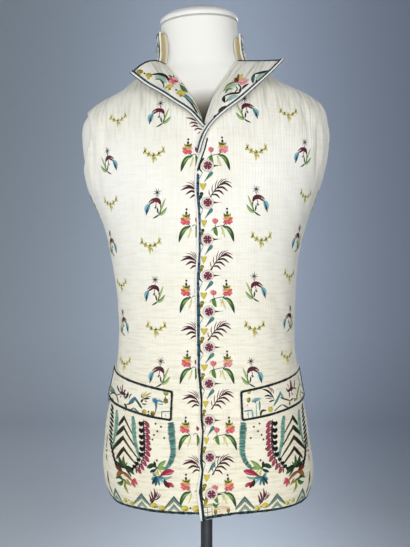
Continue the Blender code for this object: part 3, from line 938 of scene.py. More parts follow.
SHAPES = {
    "leaf": lambda t: np.clip(np.sin(math.pi * t**0.85), 0, 1) ** 0.75 * 0.94 + 0.06,
    "petal": lambda t: np.clip(np.sin(math.pi * t**1.5), 0, 1) ** 0.7 * 0.9 + 0.1,
    "flare": lambda t: 0.18 + 0.82 * np.clip(t / 0.8, 0, 1) ** 1.6 * np.sqrt(np.clip(1.12 - t**6, 0, 1)),
    "round": lambda t: np.sqrt(np.clip(1 - (2 * t - 1) ** 2, 0, 1)) * 0.9 + 0.1,
    "stem": lambda t: np.clip(np.minimum(t, 1 - t) / 0.06, 0.25, 1),
    "taper": lambda t: np.clip(1 - 0.8 * t, 0.12, 1) * np.clip(t / 0.08, 0.3, 1),
    "blade": lambda t: np.clip(0.30 + 0.95 * np.sin(math.pi * t**1.25) ** 0.8, 0, 1),
    "swell": lambda t: np.clip(0.35 + 0.65 * np.sin(math.pi * t), 0, 1),
    "bar": lambda t: np.clip(np.minimum(t, 1 - t) / 0.02, 0.6, 1),
}


class Spot:
    """A place on a panel for a motif drawn in millimetres, x to the beholder's right and y up."""

    def __init__(self, work, s, height, flip=1, size=1.0, slant=0.0):
        self.work, self.s, self.height = work, s, height
        self.flip, self.size = flip, size
        self.cosine, self.sine = math.cos(math.radians(slant)), math.sin(math.radians(slant))

    def spots(self, points):
        points = np.asarray(points, float) * self.size
        x = points[:, 0] * self.flip
        y = points[:, 1]
        x, y = x * self.cosine - y * self.sine, x * self.sine + y * self.cosine
        return np.stack([self.s + x * self.work.side, self.height + y], 1)

    def stroke(self, points, width, colours, shape="leaf", **more):
        self.work.stroke(self.spots(points), width * self.size, colours, shape, **more)

    def dot(self, x, y, radius, colour, **more):
        place = self.spots([(x, y)])[0]
        self.work.dot(place[0], place[1], radius * self.size, colour, **more)


def rows_of(chart, common):
    """A chart's rows: shape, width, colours, what else is said of the stroke, and its places."""
    for row in chart.strip().splitlines():
        shape, width, *words = f"{row} {common}".split()
        tones = [word for word in words if word.isalpha()]
        said = dict(word.split("=") for word in words if "=" in word)
        more = {key: value if key == "shade" else float(value) for key, value in said.items()}
        places = [float(word) for word in words if not word.isalpha() and "=" not in word]
        yield shape, float(width), tones, more, np.reshape(places, (-1, 2))


def charted(needle, chart, common="", moved=np.asarray):
    """The strokes and dots of a chart, with what is common to them all."""
    for shape, width, tones, more, places in rows_of(chart, common):
        if shape == "dot":
            needle.dot(*places[0], width, tones, **more)
        else:
            needle.stroke(moved(places), width, tones, shape, **more)


def worked(work, chart, moved=np.asarray, bolder=1.0):
    """A chart's strokes, each lifted by its width and shaded with its last colour."""
    for shape, width, tones, _, places in rows_of(chart, ""):
        if shape == "peak":
            widths = np.array([0.4, 0.8, 1, 0.8, 0.4]) * width * bolder
            work.peak(moved(places), widths, tones, shade=tones[0])
        else:
            rise = min(0.3 + 0.08 * width, 0.8)
            work.stroke(moved(places), width * bolder, tones, shape, rise, shade=tones[-1])


# ---- motifs, drawn in millimetres ----

FEATHER = "wine plum plum wine rise=.55 shade=wine"
BARBS = "wine plum mauve rise=.4 steps=5"
STAR = (5.6, 15.2)
STAR_SPRIG = """
dot 1.1 ink 5.6 15.2
stem 1 grey rise=.3 steps=4 5.4 12 5.2 9 4.6 6
swell 3.2 {crimson} plum wine shade=plum -7.4 1.2 -2.6 5 3 6.4 8.4 4.8 11 -1.4
leaf 6.2 plum wine wine shade={crimson} rise=.6 -1.6 3 3.6 4.4 8 3 10.4 -2.6
leaf 2.9 wine plum {crimson} rise=.5 layer=1 -6.2 -1.2 -2.2 1.2 3.2 3
stem 1.2 {crimson} mauve rise=.35 steps=4 4.4 2 3.6 -1.6 3 -5.4
leaf 1.6 plum ink rise=.4 steps=3 3 -4.6 1.2 -7.4
leaf 1.6 plum ink rise=.4 steps=3 3 -4.6 3.4 -8.4
leaf 1.6 plum ink rise=.4 steps=3 3 -4.6 5.2 -5.2
leaf 4.2 mist aqua aqua shade=sky rise=.45 -6.4 0 -11.4 -5.4 -12.6 -13
leaf 2.6 sky blue rise=.4 -5 -2.4 -7.6 -7.6 -9.2 -14
swell 3 lake teal navy ink rise=.55 layer=1 -4.6 .6 -8.8 -6.8 -11.4 -16.4
stem 2.1 wine moss grass rise=.4 steps=5 10.2 -1.6 11.2 -8 8.2 -16
leaf 2.5 pine ink rise=.5 5.6 -6 6 -11 7.4 -16
leaf 3 grass lime olive shade=lime 9.2 -14 13.6 -3 18 7
leaf 4.4 lime lime mist shade=lime 7 -17.4 13.4 -14.4 19.6 -7.2
leaf 2 pine grass pine rise=.4 layer=1 7.4 -16.6 13.6 -12.6 19.8 -6
leaf 2.3 ink pine rise=.4 8.4 -16 3.8 -19.2 -1.8 -21.8
"""
FESTOON_TAIL = """
leaf 3.2 olive hay straw steps=5 0 -4 -.6 -9 -1.4 -16
leaf 2 olive hay rise=.35 steps=4 .4 -5 2.8 -8 3.6 -12
leaf 2 olive hay rise=.35 steps=4 -.6 -6 -3.8 -9
"""
TULIP = """
petal 4.8 coral {warm} {light} shade={warm} rise=.6 1 -1.5 -4 0 -7.6 3.2
petal 4.6 ruby coral {warm} shade={light} 1 -1.5 -4.2 -3 -8.2 -2.6
petal 4.4 coral {warm} coral layer=1 .8 -1 -2 -4 -4.8 -6.8
petal 4.2 ruby coral {warm} shade={light} .8 -1.4 1.4 -4 .6 -7.4
petal 3.8 coral {light} blush shade=blush 0 0 3.4 .2 6.6 2.6
petal 3.8 ruby {warm} {light} shade=coral .6 -1 3.4 -2.6 5.6 -5.4
leaf 3.2 gold gold olive layer=1 0 .6 -2.6 3.8 -5 8.6
leaf 4.2 coral gold olive moss layer=2 .3 0 .2 4.6 .4 10
leaf 3.2 gold olive moss layer=1 .6 .4 3 3.6 5.4 9
leaf 1.9 moss ink moss layer=3 -4.2 7.4 .4 4.8 5 8.6
leaf 2.2 ink layer=3 steps=4 -1 8 .4 11.6 1.8 8
dot 1.6 ink .6 15
stem 1.3 navy rise=.35 steps=5 1.4 -3 4 -7 7 -9.8
leaf 6.2 pine grass grass pine pine shade=pine rise=.6 steps=10 6.4 -9.2 -1 -12 -6.4 -20 -10 -31.5
leaf 1.8 lime rise=.35 layer=2 3.4 -11 -2.6 -14.6 -6.6 -21
leaf 2.6 lime straw lime rise=.4 7.5 -10 6 -17 2.4 -26
"""
TULIP_BUD = """
petal 6.4 ruby coral coral shade=pink rise=.6 -.6 -4.2 -1.6 0 .2 4
petal 4.6 ruby coral shade=pink .6 -4 1.8 -.6 2.2 3.2
stem 1 pine rise=.35 steps=7 0 -3.6 .5 -8 5 -7.4 14 -5.6
stem 1.1 navy rise=.35 steps=4 -6 -14 -2.5 -9.6 2 -8
leaf 5.8 pine grass pine shade=grass rise=.6 1 -7.4 0 -13 3.2 -21
leaf 1.6 lime straw rise=.3 8 -8 10.4 -14 9 -21
"""
HALF_BUD = """
leaf 4.2 pine grass pine 1 -9 -.5 -17 1 -26
petal 4.4 coral maroon pink 2 2.6 0 -1 .6 -5
stem 1.1 grey 7 -11 4 -8 0 -9
"""
FERN = """
leaf 3.3 13 17.5 22 20.5 32 14.6
leaf 3 9.5 13.3 17.5 15 26 9
leaf 2.9 6 8.8 13 10.2 20.5 4.2
leaf 2.7 3 4.2 9 4.8 14.4 -.8
leaf 1.7 15 19.4 23 23.4 31.5 20.4
"""
FERN_BARBS = """
leaf 1.4 13.5 18.4 18 24.6 25.5 27
leaf 1.4 10.5 15 12.6 21.5 18 27.6
leaf 1.3 7.5 11.4 8.4 19 11.4 27
leaf 1.3 4.4 7 3.4 13 4.6 20
leaf 1.3 1.4 2.6 -.6 7 -.4 12
"""
HALF_FERN = """
leaf 3.7 1 11.5 11 15.2 23 11
leaf 3.2 0 6.6 7.5 9.6 16 4.8
leaf 2.8 -2 2 3.5 4 9.8 -.8
leaf 1.7 2 13 10.5 17.6 20.6 16.4
"""
HALF_FERN_BARBS = """
leaf 1.3 1.6 13.2 7 20 15.6 22.6
leaf 1.2 .8 12.8 3.6 20 9.6 25.4
leaf 1.1 0 12.4 1.2 19.6 4.8 25.4
leaf 1 -1 11.4 -1.4 17 -.4 22
"""
TOP_FERN = """
leaf 2.6 11 717 19 721.6 27 723
leaf 2.6 9 713 15 715.35 21 714.5
leaf 2.6 8 709 14 710.6 20 709
leaf 2.6 3 704 9 706.35 15 705.5
"""
TOP_FERN_BARBS = """
leaf 1.8 17 717 22 713
leaf 1.8 13 713 18 709
leaf 1.8 10 707 15 703
leaf 1.8 6 702 11 698
"""
VINE = """
leaf 4 {tone} {dark} {dark} shade={tone} rise=.6 -5 11.5 -9.4 7.6 -10.4 1.5
leaf 2.2 {dark} ink {dark} rise=.5 -9.8 3 -10.4 -3.4 -5.4 -10
"""
VINE_LEAF = """
stem 1 slate aqua rise=.3 -11.4 -20 -8.4 -14 -6 -9
flare 5.8 lake slate teal shade=teal rise=.6 -3.4 -22 2 -15 7.4 -8.4
leaf 2 lake layer=1 -1 -18 2.2 -13.4 5.2 -9.6
"""
BUTTONHOLE = """
taper 3.2 ink moss rise=.5 layer=1 8 0 11.6 0 16 .2
taper 1 moss olive rise=.3 steps=4 13 .1 21 .5
swell 2 ink rise=.45 steps=4 9 -1.8 9.2 2
"""
PLUM_SPRAY = """
leaf 2.4 -5.5 -12 -6.6 -8.5 -7.4 -4
leaf 2.4 -3.8 -9.5 -6.4 -5 -8.6 1
leaf 2.8 -2.4 -8.5 -3.6 -1 -6 6.5
leaf 3.4 -1.6 -8.5 .8 0 -.6 10
leaf 2 0 -5 3.4 .5 3.6 7
leaf 2.2 -1 -8 5 -4.5 9.6 1.6
leaf 1.3 2.4 -4 5.6 -1 7 4
leaf 2.2 -3 -9 -4.4 -11 -3.4 -4
"""


def star_sprig(spot, variety):
    """A little star over a drooping crescent, with a blue leaf at one end and green ones at the other."""
    for ray in range(8):
        angle = math.pi * (ray / 4 + 0.06 * variety)
        reach = 6.6 if ray % 2 else 5.6
        tip = (STAR[0] + reach * math.cos(angle), STAR[1] + reach * math.sin(angle))
        spot.stroke([STAR, tip], 1.7, "ash", "taper", rise=0.4, steps=3)
    charted(spot, STAR_SPRIG.format(crimson="claret" if variety > 3 else "plum"))


def festoon_sprig(spot, variety):
    """A small hanging festoon: dark knots with yellow tips on a curved stem, and a tail."""

    def hang(x):
        return -3.0 + 0.034 * x * x

    bend = [(x, hang(x)) for x in (-14, -9, -4, 0, 4, 9, 14)]
    spot.stroke(bend, 1.0, "olive", "stem", rise=0.3, steps=10)
    for number, x in enumerate((-13.5, -7.5, -0.5, 7.0, 13.5)):
        y = hang(x)
        height = 7.4 if number in (0, 4) else 4.8
        lean = 0.9 * math.sin(number * 2.3 + variety)
        for tip_x, tip_y, width, tones, rise in (
            (x - 1.2 + lean, y + height, 2.3, "olive hay straw", 0.4),
            (x + 2.2 + lean, y + height * 0.8, 2.0, "olive straw", 0.35),
            (x - 3.0, y - 2.8, 3.2, "hay olive", 0.4),
            (x + 2.8, y - 4.2, 3.3, "hay straw", 0.4),
        ):
            spot.stroke([(x, y), (tip_x, tip_y)], width, tones, rise=rise, steps=4)
        knot = ("moss", "ink", "olive")[(number + int(variety)) % 3]
        spot.dot(x, y + 0.4 + 0.4 * lean, 1.5, knot, layer=1)
    charted(spot, FESTOON_TAIL)


def fern(spot):
    """A plum feather: thick curved leaflets under its rib and fine ones over it."""
    spot.stroke([(0, 0), (4, 6), (9, 13), (17, 21)], 1.5, "wine", "stem", rise=0.35, steps=7)
    charted(spot, FERN, FEATHER)
    charted(spot, FERN_BARBS, BARBS)
    spot.stroke([(-1.4, -2), (1, 1), (3, 4)], 2.4, "wine")


def half_fern(spot):
    """The other front's feather, the part of it that shows beside the buttons."""
    charted(spot, HALF_FERN, FEATHER)
    charted(spot, HALF_FERN_BARBS, BARBS)
    spot.stroke([(-4, 0), (-1, 6), (4, 14)], 1.5, "wine", "stem", rise=0.3)


def vine(spot, low, last):
    """The vine past one button: stems, a teal leaf, a yellow bell, and dark leaves round the button."""
    dark, tone = ("moss", "olive") if low else ("ink", "pine")
    charted(spot, VINE.format(dark=dark, tone=tone))
    if last:
        return
    charted(spot, VINE_LEAF)
    for tip_x, tip_tone in ((-10.2, "olive"), (-7.6, "gold"), (-4.8, "gold"), (-2.4, "olive")):
        bell = [(-5.2, -34), (tip_x * 0.5 - 1.8, -28.6), (tip_x + 1.4, -23.6)]
        spot.stroke(bell, 3.0, "olive gold " + tip_tone, "petal", rise=0.6, shade="gold", steps=5)
    knot = [(-9.6, -39.6), (-7.0, -38.6), (-4.4, -39.4)]
    spot.stroke(knot, 5.0, "olive gold olive" if low else "ink grey", "round", rise=0.6, shade=dark)
    spot.dot(-7.4, -44, 1.2, dark)


def chevron(spot, wide, tall, width, tone, tip=None):
    """Two straight arms that meet at a peak, the peak at the spot itself."""
    feet = spot.spots([(-wide, -tall), (0, 0), (wide, -tall)])
    spot.work.peak(feet, np.array([0.35, 0.8, 1, 0.8, 0.35]) * width, [tone, tip or tone, tone], shade=tone)


def heart(work, s, height, wide, tall, lean=0.0):
    """A solid leaf pair, like a heart with its point down."""
    foot = (s, height - tall * 0.5)
    for way in (-1, 1):
        side, tip = s + way * wide * 0.20 + lean, s + way * wide * 0.27 + lean
        lobe = [foot, (side, height), (tip, height + tall * 0.42)]
        work.stroke(lobe, wide * 0.56, "jet", "petal", rise=0.6, steps=5)
    work.stroke([foot, (s + lean, height + tall * 0.3)], wide * 0.5, "jet", "petal", rise=0.6, steps=4)


def bow(spot, size):
    """Two yellow leaves meeting at a dark knot."""
    for way, tone in ((-1, "gold"), (1, "olive")):
        leaf = [(way * -0.6, 0), (way * size * 0.6, 0.6), (way * size * 1.15, 0.2)]
        spot.stroke(leaf, size * 1.25, "olive gold gold", "round", rise=0.6, shade=tone)
        vein = [(way * 0.2, -1.2), (way * size * 0.7, -1.4)]
        spot.stroke(vein, size * 0.34, "olive", rise=0.4, layer=2, steps=4)
    spot.dot(0, -0.3, 1.3, "ink", layer=2)


def yellow_knot(spot, size):
    """A plump yellow leaf pair seen end on, darker at one side."""
    pair = [(-size, 0.4), (0, 0.8), (size, 0.2)]
    spot.stroke(pair, size * 1.5, "straw gold olive", "round", rise=0.7, shade="gold")
    spot.stroke([(-size * 0.2, -0.6), (size * 0.9, -0.8)], size * 0.6, "olive", rise=0.4, layer=2, steps=4)


def lattice(spot, wide, tall):
    """A small square of crossed thin lines with pale pink knots."""
    for share in (0.0, 0.5, 1.0):
        for bar in ([(0, tall * share), (wide, tall * share)], [(wide * share, 0), (wide * share, tall)]):
            spot.stroke(bar, 1.0, "slate", "bar", rise=0.35, steps=4)
    for x in (0.25, 0.75):
        for y in (0.25, 0.75):
            spot.dot(wide * x, tall * y, 0.8, "blush")


# ---- the embroidery of each front ----

SPRIGS = {  # distance from the middle, height, flip and size
    -1: (
        "68 733 1 1, 143 668 -1 .95, 74 601 1 1, 159 547 -1 .95, 79 476 1 1, 140 428 -1 .95, 72 359 1 1, "
        "223 606 1 .95, 224 487 1 .95, 222 372 1 .95",
        "128 730 1 .9, 73 673 1 1, 149 607 1 .95, 79 543 1 1, 143 485 1 .95, 74 422 1 1, 137 369 1 .95, "
        "208 548 1 .9, 200 430 1 .9",
    ),
    1: (
        "65 735 -1 1, 145 672 1 .95, 78 603 -1 1, 154 552 1 .95, 76 481 -1 1, 138 434 1 .95, 69 359 -1 1, "
        "223 606 -1 .95, 224 487 -1 .95, 222 372 -1 .95",
        "125 728 1 .9, 73 673 1 1, 162 613 1 .9, 82 550 1 1, 140 498 1 .95, 70 423 1 1, 133 379 1 .95, "
        "208 548 1 .9, 200 430 1 .9",
    ),
}
EDGE_LINE_START = ((2, 690), (-1, 681), (-3.6, 674), (-6, 667), (-8, 660), (-9.4, 652), (-10.2, 645))
TULIP_HEIGHTS = (677, 577, 476, 375, 282, 202)
FERN_HEIGHTS = (606, 506, 406, 309, 218)
FLOWER_PLACES = {1: (24.5, 31, 29.5, 29, 32, 27.5), -1: (24.5, 27, 28, 28, 30, 32)}
BUD_PLACES = {1: (7.5, 14, 10.5, 9.5, 14, 9), -1: (12.5, 12, 14, 15, 12.5, 14)}
FERN_PLACES = {1: (6, 8, 3, 7, 6), -1: (12, 12, 14, 12, 13)}


def sprigs(work):
    for motif, places in zip((star_sprig, festoon_sprig), SPRIGS[work.side]):
        for place in places.split(","):
            s, height, flip, size = map(float, place.split())
            motif(Spot(work, s, height, flip, size), height % 7)


def border(work):
    """The flowers and ferns that stand along the buttons, one side of them."""
    right = work.side > 0
    for number, height in enumerate(TULIP_HEIGHTS):
        pale = right and number in (0, 3)
        colours = {"warm": "pink", "light": "blush"} if pale else {"warm": "coral", "light": "pink"}
        spot = Spot(work, FLOWER_PLACES[work.side][number], height - 1, flip=-work.side)
        charted(spot, TULIP.format(**colours))
        bud = BUD_PLACES[work.side][number]
        if right:
            charted(Spot(work, bud, height - 3), TULIP_BUD)
        else:
            charted(Spot(work, bud, height, flip=-1), HALF_BUD)
    for number, height in enumerate(FERN_HEIGHTS):
        place = FERN_PLACES[work.side][number]
        if right:
            fern(Spot(work, place, height))
        else:
            half_fern(Spot(work, place, height + 1, flip=-1))
    if not right:
        charted(work, TOP_FERN, "wine plum plum wine rise=.5")
        charted(work, TOP_FERN_BARBS, "plum mauve rise=.4 steps=4")
        return
    for number in range(BUTTONS):
        height = (TOP_BUTTON - BUTTON_PITCH * number) / MM
        spot = Spot(work, BUTTON_LINE / MM + 1, height)
        vine(spot, low=number > 1, last=number == BUTTONS - 1)
        charted(spot, BUTTONHOLE)


LAUREL = table("""
s height
165 302
162 291
161 281
162 270
161 259
160 250
156 242
152 232
145 221
""")
POCKET_BANDS = (  # each band's line, its widths and its colours
    (
        "146 298 144.5 289 144.5 278 145.5 267 149 255 153 245",
        (5, 9, 9, 7.5, 5, 3),
        "jade jade slate mint",
    ),
    (
        "111 293 109 283 108 272 106.5 260 103 248 99 235",
        (5, 8.5, 8.5, 7, 6, 4.5, 3),
        "jade slate fir mint jade",
    ),
    (
        "50.5 288 50 278 49 266 48 254 48.5 244 52.5 233 60 223",
        (9, 11, 10, 9.5, 9, 8, 7, 4),
        "jade fir fir slate jade lake",
    ),
)
POCKET_PEAKS = (  # foot, peak, foot
    "139 279 127.5 290 111 269",
    "144 264 127.5 276 106 251",
    "153 242 128.5 261.5 101 234",
    "144 230.5 127.5 246 103 224",
)
HEARTS = "96 284.5 95.5 275 95.5 266 95 257.5 95 249 96.5 241 99.5 233.5 103 228 107 223 111.5 219"
ROSE_PETALS = "87 283.5 86.5 275 86 266.5 86 258.5 86 250.5 87 242.5 89 235 92 228.5 96.5 222.5 101.5 217"
MOSS_KNOTS = "73 286 65 282 70.5 275.5 75.5 270 60.5 266.5 78 263.5 81 250 72.5 234.5"
POCKET_LEAVES = """
petal 6.6 pine ink pine shade=pine rise=.7 73 223 79 227 88 223
petal 5 pine ink rise=.6 73 223 79 219 84 217
petal 4.6 pine ink ink rise=.6 73 223 76 228 76 233
leaf 6.4 pine grass grass pine shade=lime rise=.7 73 222 66 229 59 235
leaf 5.2 grass grass pine shade=lime rise=.6 72 222 65 224 57 222
leaf 2 olive gold 73 222 71 214 67 210
leaf 2 lime gold 70 222 66 217 61 213
leaf 3 aqua mist 92 228 87 224 83 221
petal 8.6 ink maroon ruby ruby peony shade=ruby rise=.9 steps=10 70 212 62 217 48 221
leaf 2.4 ruby pink rise=.4 layer=4 63 214 56 217 49 219
leaf 4 teal mist lime shade=teal rise=.5 69 210 59 210 51 213
"""
POCKET_FOLIAGE = """
petal 5.2 pine maroon maroon shade=maroon rise=.6 63 208 59 202 56 196
petal 5.6 maroon ruby pink shade=ruby rise=.7 61 204 55 202 49 198
leaf 3 pine ink 62 210 63 204 60 197
leaf 9 ink jet pine ink shade=pine rise=.8 125 219 134 224 138 234
leaf 8 ink jet pine grass shade=pine rise=.8 127 219 119 219 109 211
leaf 6 pine grass pine shade=moss rise=.7 124 219 128 226 128 236
leaf 5 moss ink pine rise=.6 128 221 137 221 145 226
leaf 3 pine grass 126 220 123 224 121 228
leaf 3.2 pine ink layer=1 124 218 118 212 114 207
petal 9.4 rust moss rust shade=maroon rise=.7 129 210 139 217 147 217
petal 8 moss rust olive shade=rust rise=.7 129 211 138 209 144 203
leaf 5.4 moss rust mauve shade=rust rise=.6 134 213 121 208 112 200
leaf 3 rust olive rise=.4 124 203 120 199 116 193
"""
POCKET_FOOT = """
leaf 5.6 grass pine grass shade=pine rise=.6 130 200 138 204 147 200
leaf 6.4 pine grass lime shade=pine rise=.6 130 200 136 194 144 194
leaf 4.4 moss olive lime rise=.5 131 202 124 198 117 195
leaf 4.6 olive grass gold shade=olive rise=.6 127 199 127 190 121 181
"""
TEAL_PETALS = (
    (82, 206, "teal", 3.8), (81, 200, "navy", 4.2), (76, 198, "lake", 4.4), (70, 199, "teal", 4.0),
    (64, 203, "sky", 4.0), (62, 209, "teal", 3.4), (83, 218, "aqua", 3.4), (80, 213, "teal", 3.0),
)


def pairs(text):
    """Places from a line of text, two numbers for each."""
    return np.array(text.split(), float).reshape(-1, 2)


def pocket(work):
    """The large figure under a pocket flap, by its distances from the middle and heights."""
    stroke, dot = work.stroke, work.dot

    def moved(points):
        if work.side < 0:
            return points
        return [(s + 1.5 + 0.08 * max(s - 55, 0), h) for s, h in points]

    def band(number, pitch=1.3):
        line, widths, tones = POCKET_BANDS[number]
        work.ladder(moved(pairs(line)), widths, tones, pitch)

    for number, (s, h) in enumerate(moved(stepped(LAUREL, 14))):
        wide = 9.5 if number < 9 else 5.5
        leaf = [(s - wide, h - 4.4), (s - wide * 0.2, h - 1.4), (s + wide * 0.8, h + 1.4)]
        stroke(leaf, 5.0, "jet" if number % 3 else "ink", rise=0.6, steps=6)
    band(0)
    for feet in POCKET_PEAKS:
        work.peak(moved(pairs(feet)), (5.5, 8.0, 8.4, 5.4, 4.2, 2.6), "moss jet moss jet")
    band(1)
    for number, (s, h) in enumerate(moved(pairs(HEARTS))):
        size, lean = (1.0, 0.0) if number < 6 else (0.8, 1.4)
        heart(work, s, h, 9.6 * size, 8.0 * size, lean)
    stroke(moved([(92, 291), (91.6, 270), (91.8, 247)]), 1.5, "soot", "stem", layer=3, steps=8)
    for number, (s, h) in enumerate(moved(pairs(ROSE_PETALS))):
        reach = 1.0 if number < 7 else 0.85
        right, left = s + 4.8 * reach, s - 5.0 * reach
        leaf = [(right, h + 2.8), (s, h + 0.2), (left, h - 3.4)]
        stroke(leaf, 5.4 * reach, "plum rose rose plum", "petal", rise=0.7, shade="rose", steps=6)
        stroke([(right, h + 5.4), (s, h + 3.8), (left, h + 0.4)], 2.6, "plum rose", layer=1)
        bar = [(s + 4.6 * reach, h + 5.4), (s + 4.2 * reach, h - 3.4)]
        stroke(bar, 2.0, "plum wine plum", "bar", layer=2, steps=4)
    for s, h in moved(pairs(MOSS_KNOTS)):
        dot(s, h, 1.6, "moss")
    band(2, 1.2)
    charted(work, POCKET_LEAVES, moved=moved)
    dot(74, 216, 2.4, "gold", layer=1)
    for s, h, tone, width in TEAL_PETALS:
        petal = [(74, 212), ((74 + s) / 2, (212 + h) / 2 + 0.8), (s, h)]
        stroke(moved(petal), width, f"navy navy {tone} {tone}", "petal", rise=0.6, shade=tone, steps=6)
    charted(work, POCKET_FOLIAGE, moved=moved)
    for s, h in ((106, 203), (104, 197), (109, 192), (114, 195)):
        petal = [(113, 203), ((113 + s) / 2, (203 + h) / 2 + 1), (s, h)]
        stroke(moved(petal), 4.8, "rose coral pink", "petal", rise=0.6, shade="rose", steps=5)
    charted(work, POCKET_FOOT, moved=moved)
    spray = Spot(work, 78, 185)  # an open fan of plum leaflets from one foot
    charted(spray, PLUM_SPRAY, "wine wine plum mauve rise=.55 shade=plum")
    spray.stroke([(-7, -13.5), (-3, -10), (0, -6)], 2.0, "wine", "swell", layer=1)


HEM_CORNER = """
bar 2.2 olive hay olive -9.5 176 -1 177 7 176.5
leaf 4.2 pine teal lake 5 179 9 174 13 169
leaf 2.4 ink pine 3 177 9 175.5 14 178
dot 1.1 pink 14 167
dot 1.1 pink 18 163
"""
HEM_FRAME = """
swell 4.8 moss olive gold shade=olive rise=.6 -2.6 189 -3.4 183 -6.4 177.5
swell 5.4 olive rust moss shade=olive rise=.6 steps=5 8 171 8.5 163.5
swell 5.4 olive rust moss shade=olive rise=.6 steps=5 26 171 26.5 163.5
swell 4.6 gold straw blush gold rise=.5 layer=2 6 170.5 17 172 28 170.5
"""
SIDE_EDGE = """
swell 5 moss ink soot 171.5 206 171 197 169 184
swell 3.4 moss ink soot 169 184 167 178 163 172
swell 3 moss olive pine 173.5 262 175 253 176 245
swell 3.4 moss rust moss 171 238 174 236 177 236
swell 3.8 rust moss moss 175 231 174 226 171.5 222
swell 2.6 pine ink 177 250 175 246 175.5 240
"""
HEM_CHEVRONS = (  # height over the hem, share of the width, of the height, thickness and colours
    (22.5, 0.96, 0.96, 8.4, "sage", "slate"),
    (24.2, 1.0, 1.0, 3.4, "ivy", "raven"),
)
INNER_CHEVRONS = ((11.0, 0.66, 8, 6.6, "dew", "sage"), (12.6, 0.62, 7.6, 2.0, "ivy", "slate"))


def hem_border(work):
    """Chevrons and yellow bows along the hem, and the lattice at the left front's corner."""
    top = HEM / MM
    for s, wide, tall in ((50, 14, 15.5), (99, 14.5, 14.5), (150, 16, 21)):
        for height, broad, high, width, tone, tip in HEM_CHEVRONS:
            chevron(Spot(work, s, top + height), wide * broad, tall * high, width, tone, tip)
        for height, broad, high, width, tone, tip in INNER_CHEVRONS:
            chevron(Spot(work, s, top + height), wide * broad, high, width, tone, tip)
        work.dot(s + 0.5, top + 14.5, 1.1, "pink")
    for s, h, size in ((80, 9.5, 5.6), (68, 6.6, 4.8), (117, 8, 4.4), (129, 10, 4.4)):
        yellow_knot(Spot(work, s, top + h), size)
    for s, h in ((74, 9), (122, 12)):
        work.dot(s, top + h, 1.3, "grey")
    if work.side > 0:
        charted(work, HEM_FRAME)
        lattice(Spot(work, -9, 161.5), 12.5, 13.0)
        charted(work, HEM_CORNER)
    else:
        for s in (19, 35):
            yellow_knot(Spot(work, s, top + 8), 5.6)
        work.dot(27, top + 9.5, 1.7, "grey")
    charted(work, SIDE_EDGE, "shade=moss rise=.5")


def inset(outline, distance):
    """A line of distances and heights moved sideways, to its left."""
    ahead = unit(np.gradient(outline, axis=0))
    return outline + np.stack([-ahead[:, 1], ahead[:, 0]], 1) * distance


def edge_line(side):
    """A front's trimmed edge, from the turn of the lapel down, along the hem, and up the vent."""
    heights = hem_heights()
    edge_x, top = ROLL_START[side][0].x, ROLL_START[side][0].height
    down = np.linspace(top, HEM, 90)
    inner = np.stack([distance_at(turn_at(edge_x, down), down), down], 1)
    end = distance_at(side_edge(-1, heights)[0], HEM)
    hem = np.stack([np.linspace(inner[-1, 0], end, 60), np.full(60, HEM)], 1)
    rise = heights[heights < VENT_TOP]
    up = np.stack([distance_at(side_edge(-1, rise), rise), rise], 1)
    return inner, hem, up


def resampled(outline, step):
    travel = travelled(outline)
    at = np.linspace(0, travel[-1], max(int(travel[-1] / step), 2) + 1)
    return np.stack([np.interp(at, travel, outline[:, c]) for c in range(outline.shape[1])], 1)


def trim(work, outline, width, tones, rise=0.7, layer=2, step=3.5):
    """A worked line of overlapping slanted stitches along an outline given in metres."""
    places = resampled(outline, step * MM) / MM
    ahead = unit(np.gradient(places, axis=0))
    side = np.stack([-ahead[:, 1], ahead[:, 0]], 1)
    wander = np.random.default_rng(len(places))
    tones = tones.split()
    for number in range(len(places) - 1):
        start, end = places[number], places[number + 1]
        swing = width * 0.16 * wander.uniform(-1, 1)
        first = start - ahead[number] * step * 0.35 - side[number] * width * 0.18
        last = end + ahead[number] * step * 0.35 + side[number] * (width * 0.18 + swing * 0.4)
        tone = tones[number % len(tones)]
        work.stroke([first, (start + end) / 2, last], width + swing, tone, "swell", rise, layer, steps=4)


# ---- finishes ----

V_NECK_SHADOW_FOOT = (0.0015, -0.108, 0.704)  # the foot of the neck opening, round which a dark brown shadow is painted on the jersey


def sums(operation, flipped=False):
    def method(tone, other):
        first, second = (other, tone) if flipped else (tone, other)
        return tone.sum(operation, first, second)

    return method


class Tone:
    """A socket of a finish that takes part in sums."""

    def __init__(self, finish, socket):
        self.finish, self.socket = finish, socket

    def sum(self, operation, first, second=0.0, clamp=False):
        settings = {"operation": operation, "use_clamp": clamp}
        return self.finish.node("ShaderNodeMath", settings, {0: first, 1: second})

    __add__, __radd__ = sums("ADD"), sums("ADD", flipped=True)
    __sub__, __rsub__ = sums("SUBTRACT"), sums("SUBTRACT", flipped=True)
    __mul__, __rmul__ = sums("MULTIPLY"), sums("MULTIPLY", flipped=True)
    __truediv__, __pow__ = sums("DIVIDE"), sums("POWER")

    def wave(self):
        """0 to 1 and back, once for each whole number."""
        return self.sum("SINE", self * (2 * math.pi)) * 0.5 + 0.5

    def clamped(self):
        return self.sum("ADD", self, 0.0, clamp=True)

    def past(self, level, steepness):
        return ((self - level) * steepness).clamped()

    def above_zero(self):
        return self.sum("MAXIMUM", self, 0.0)


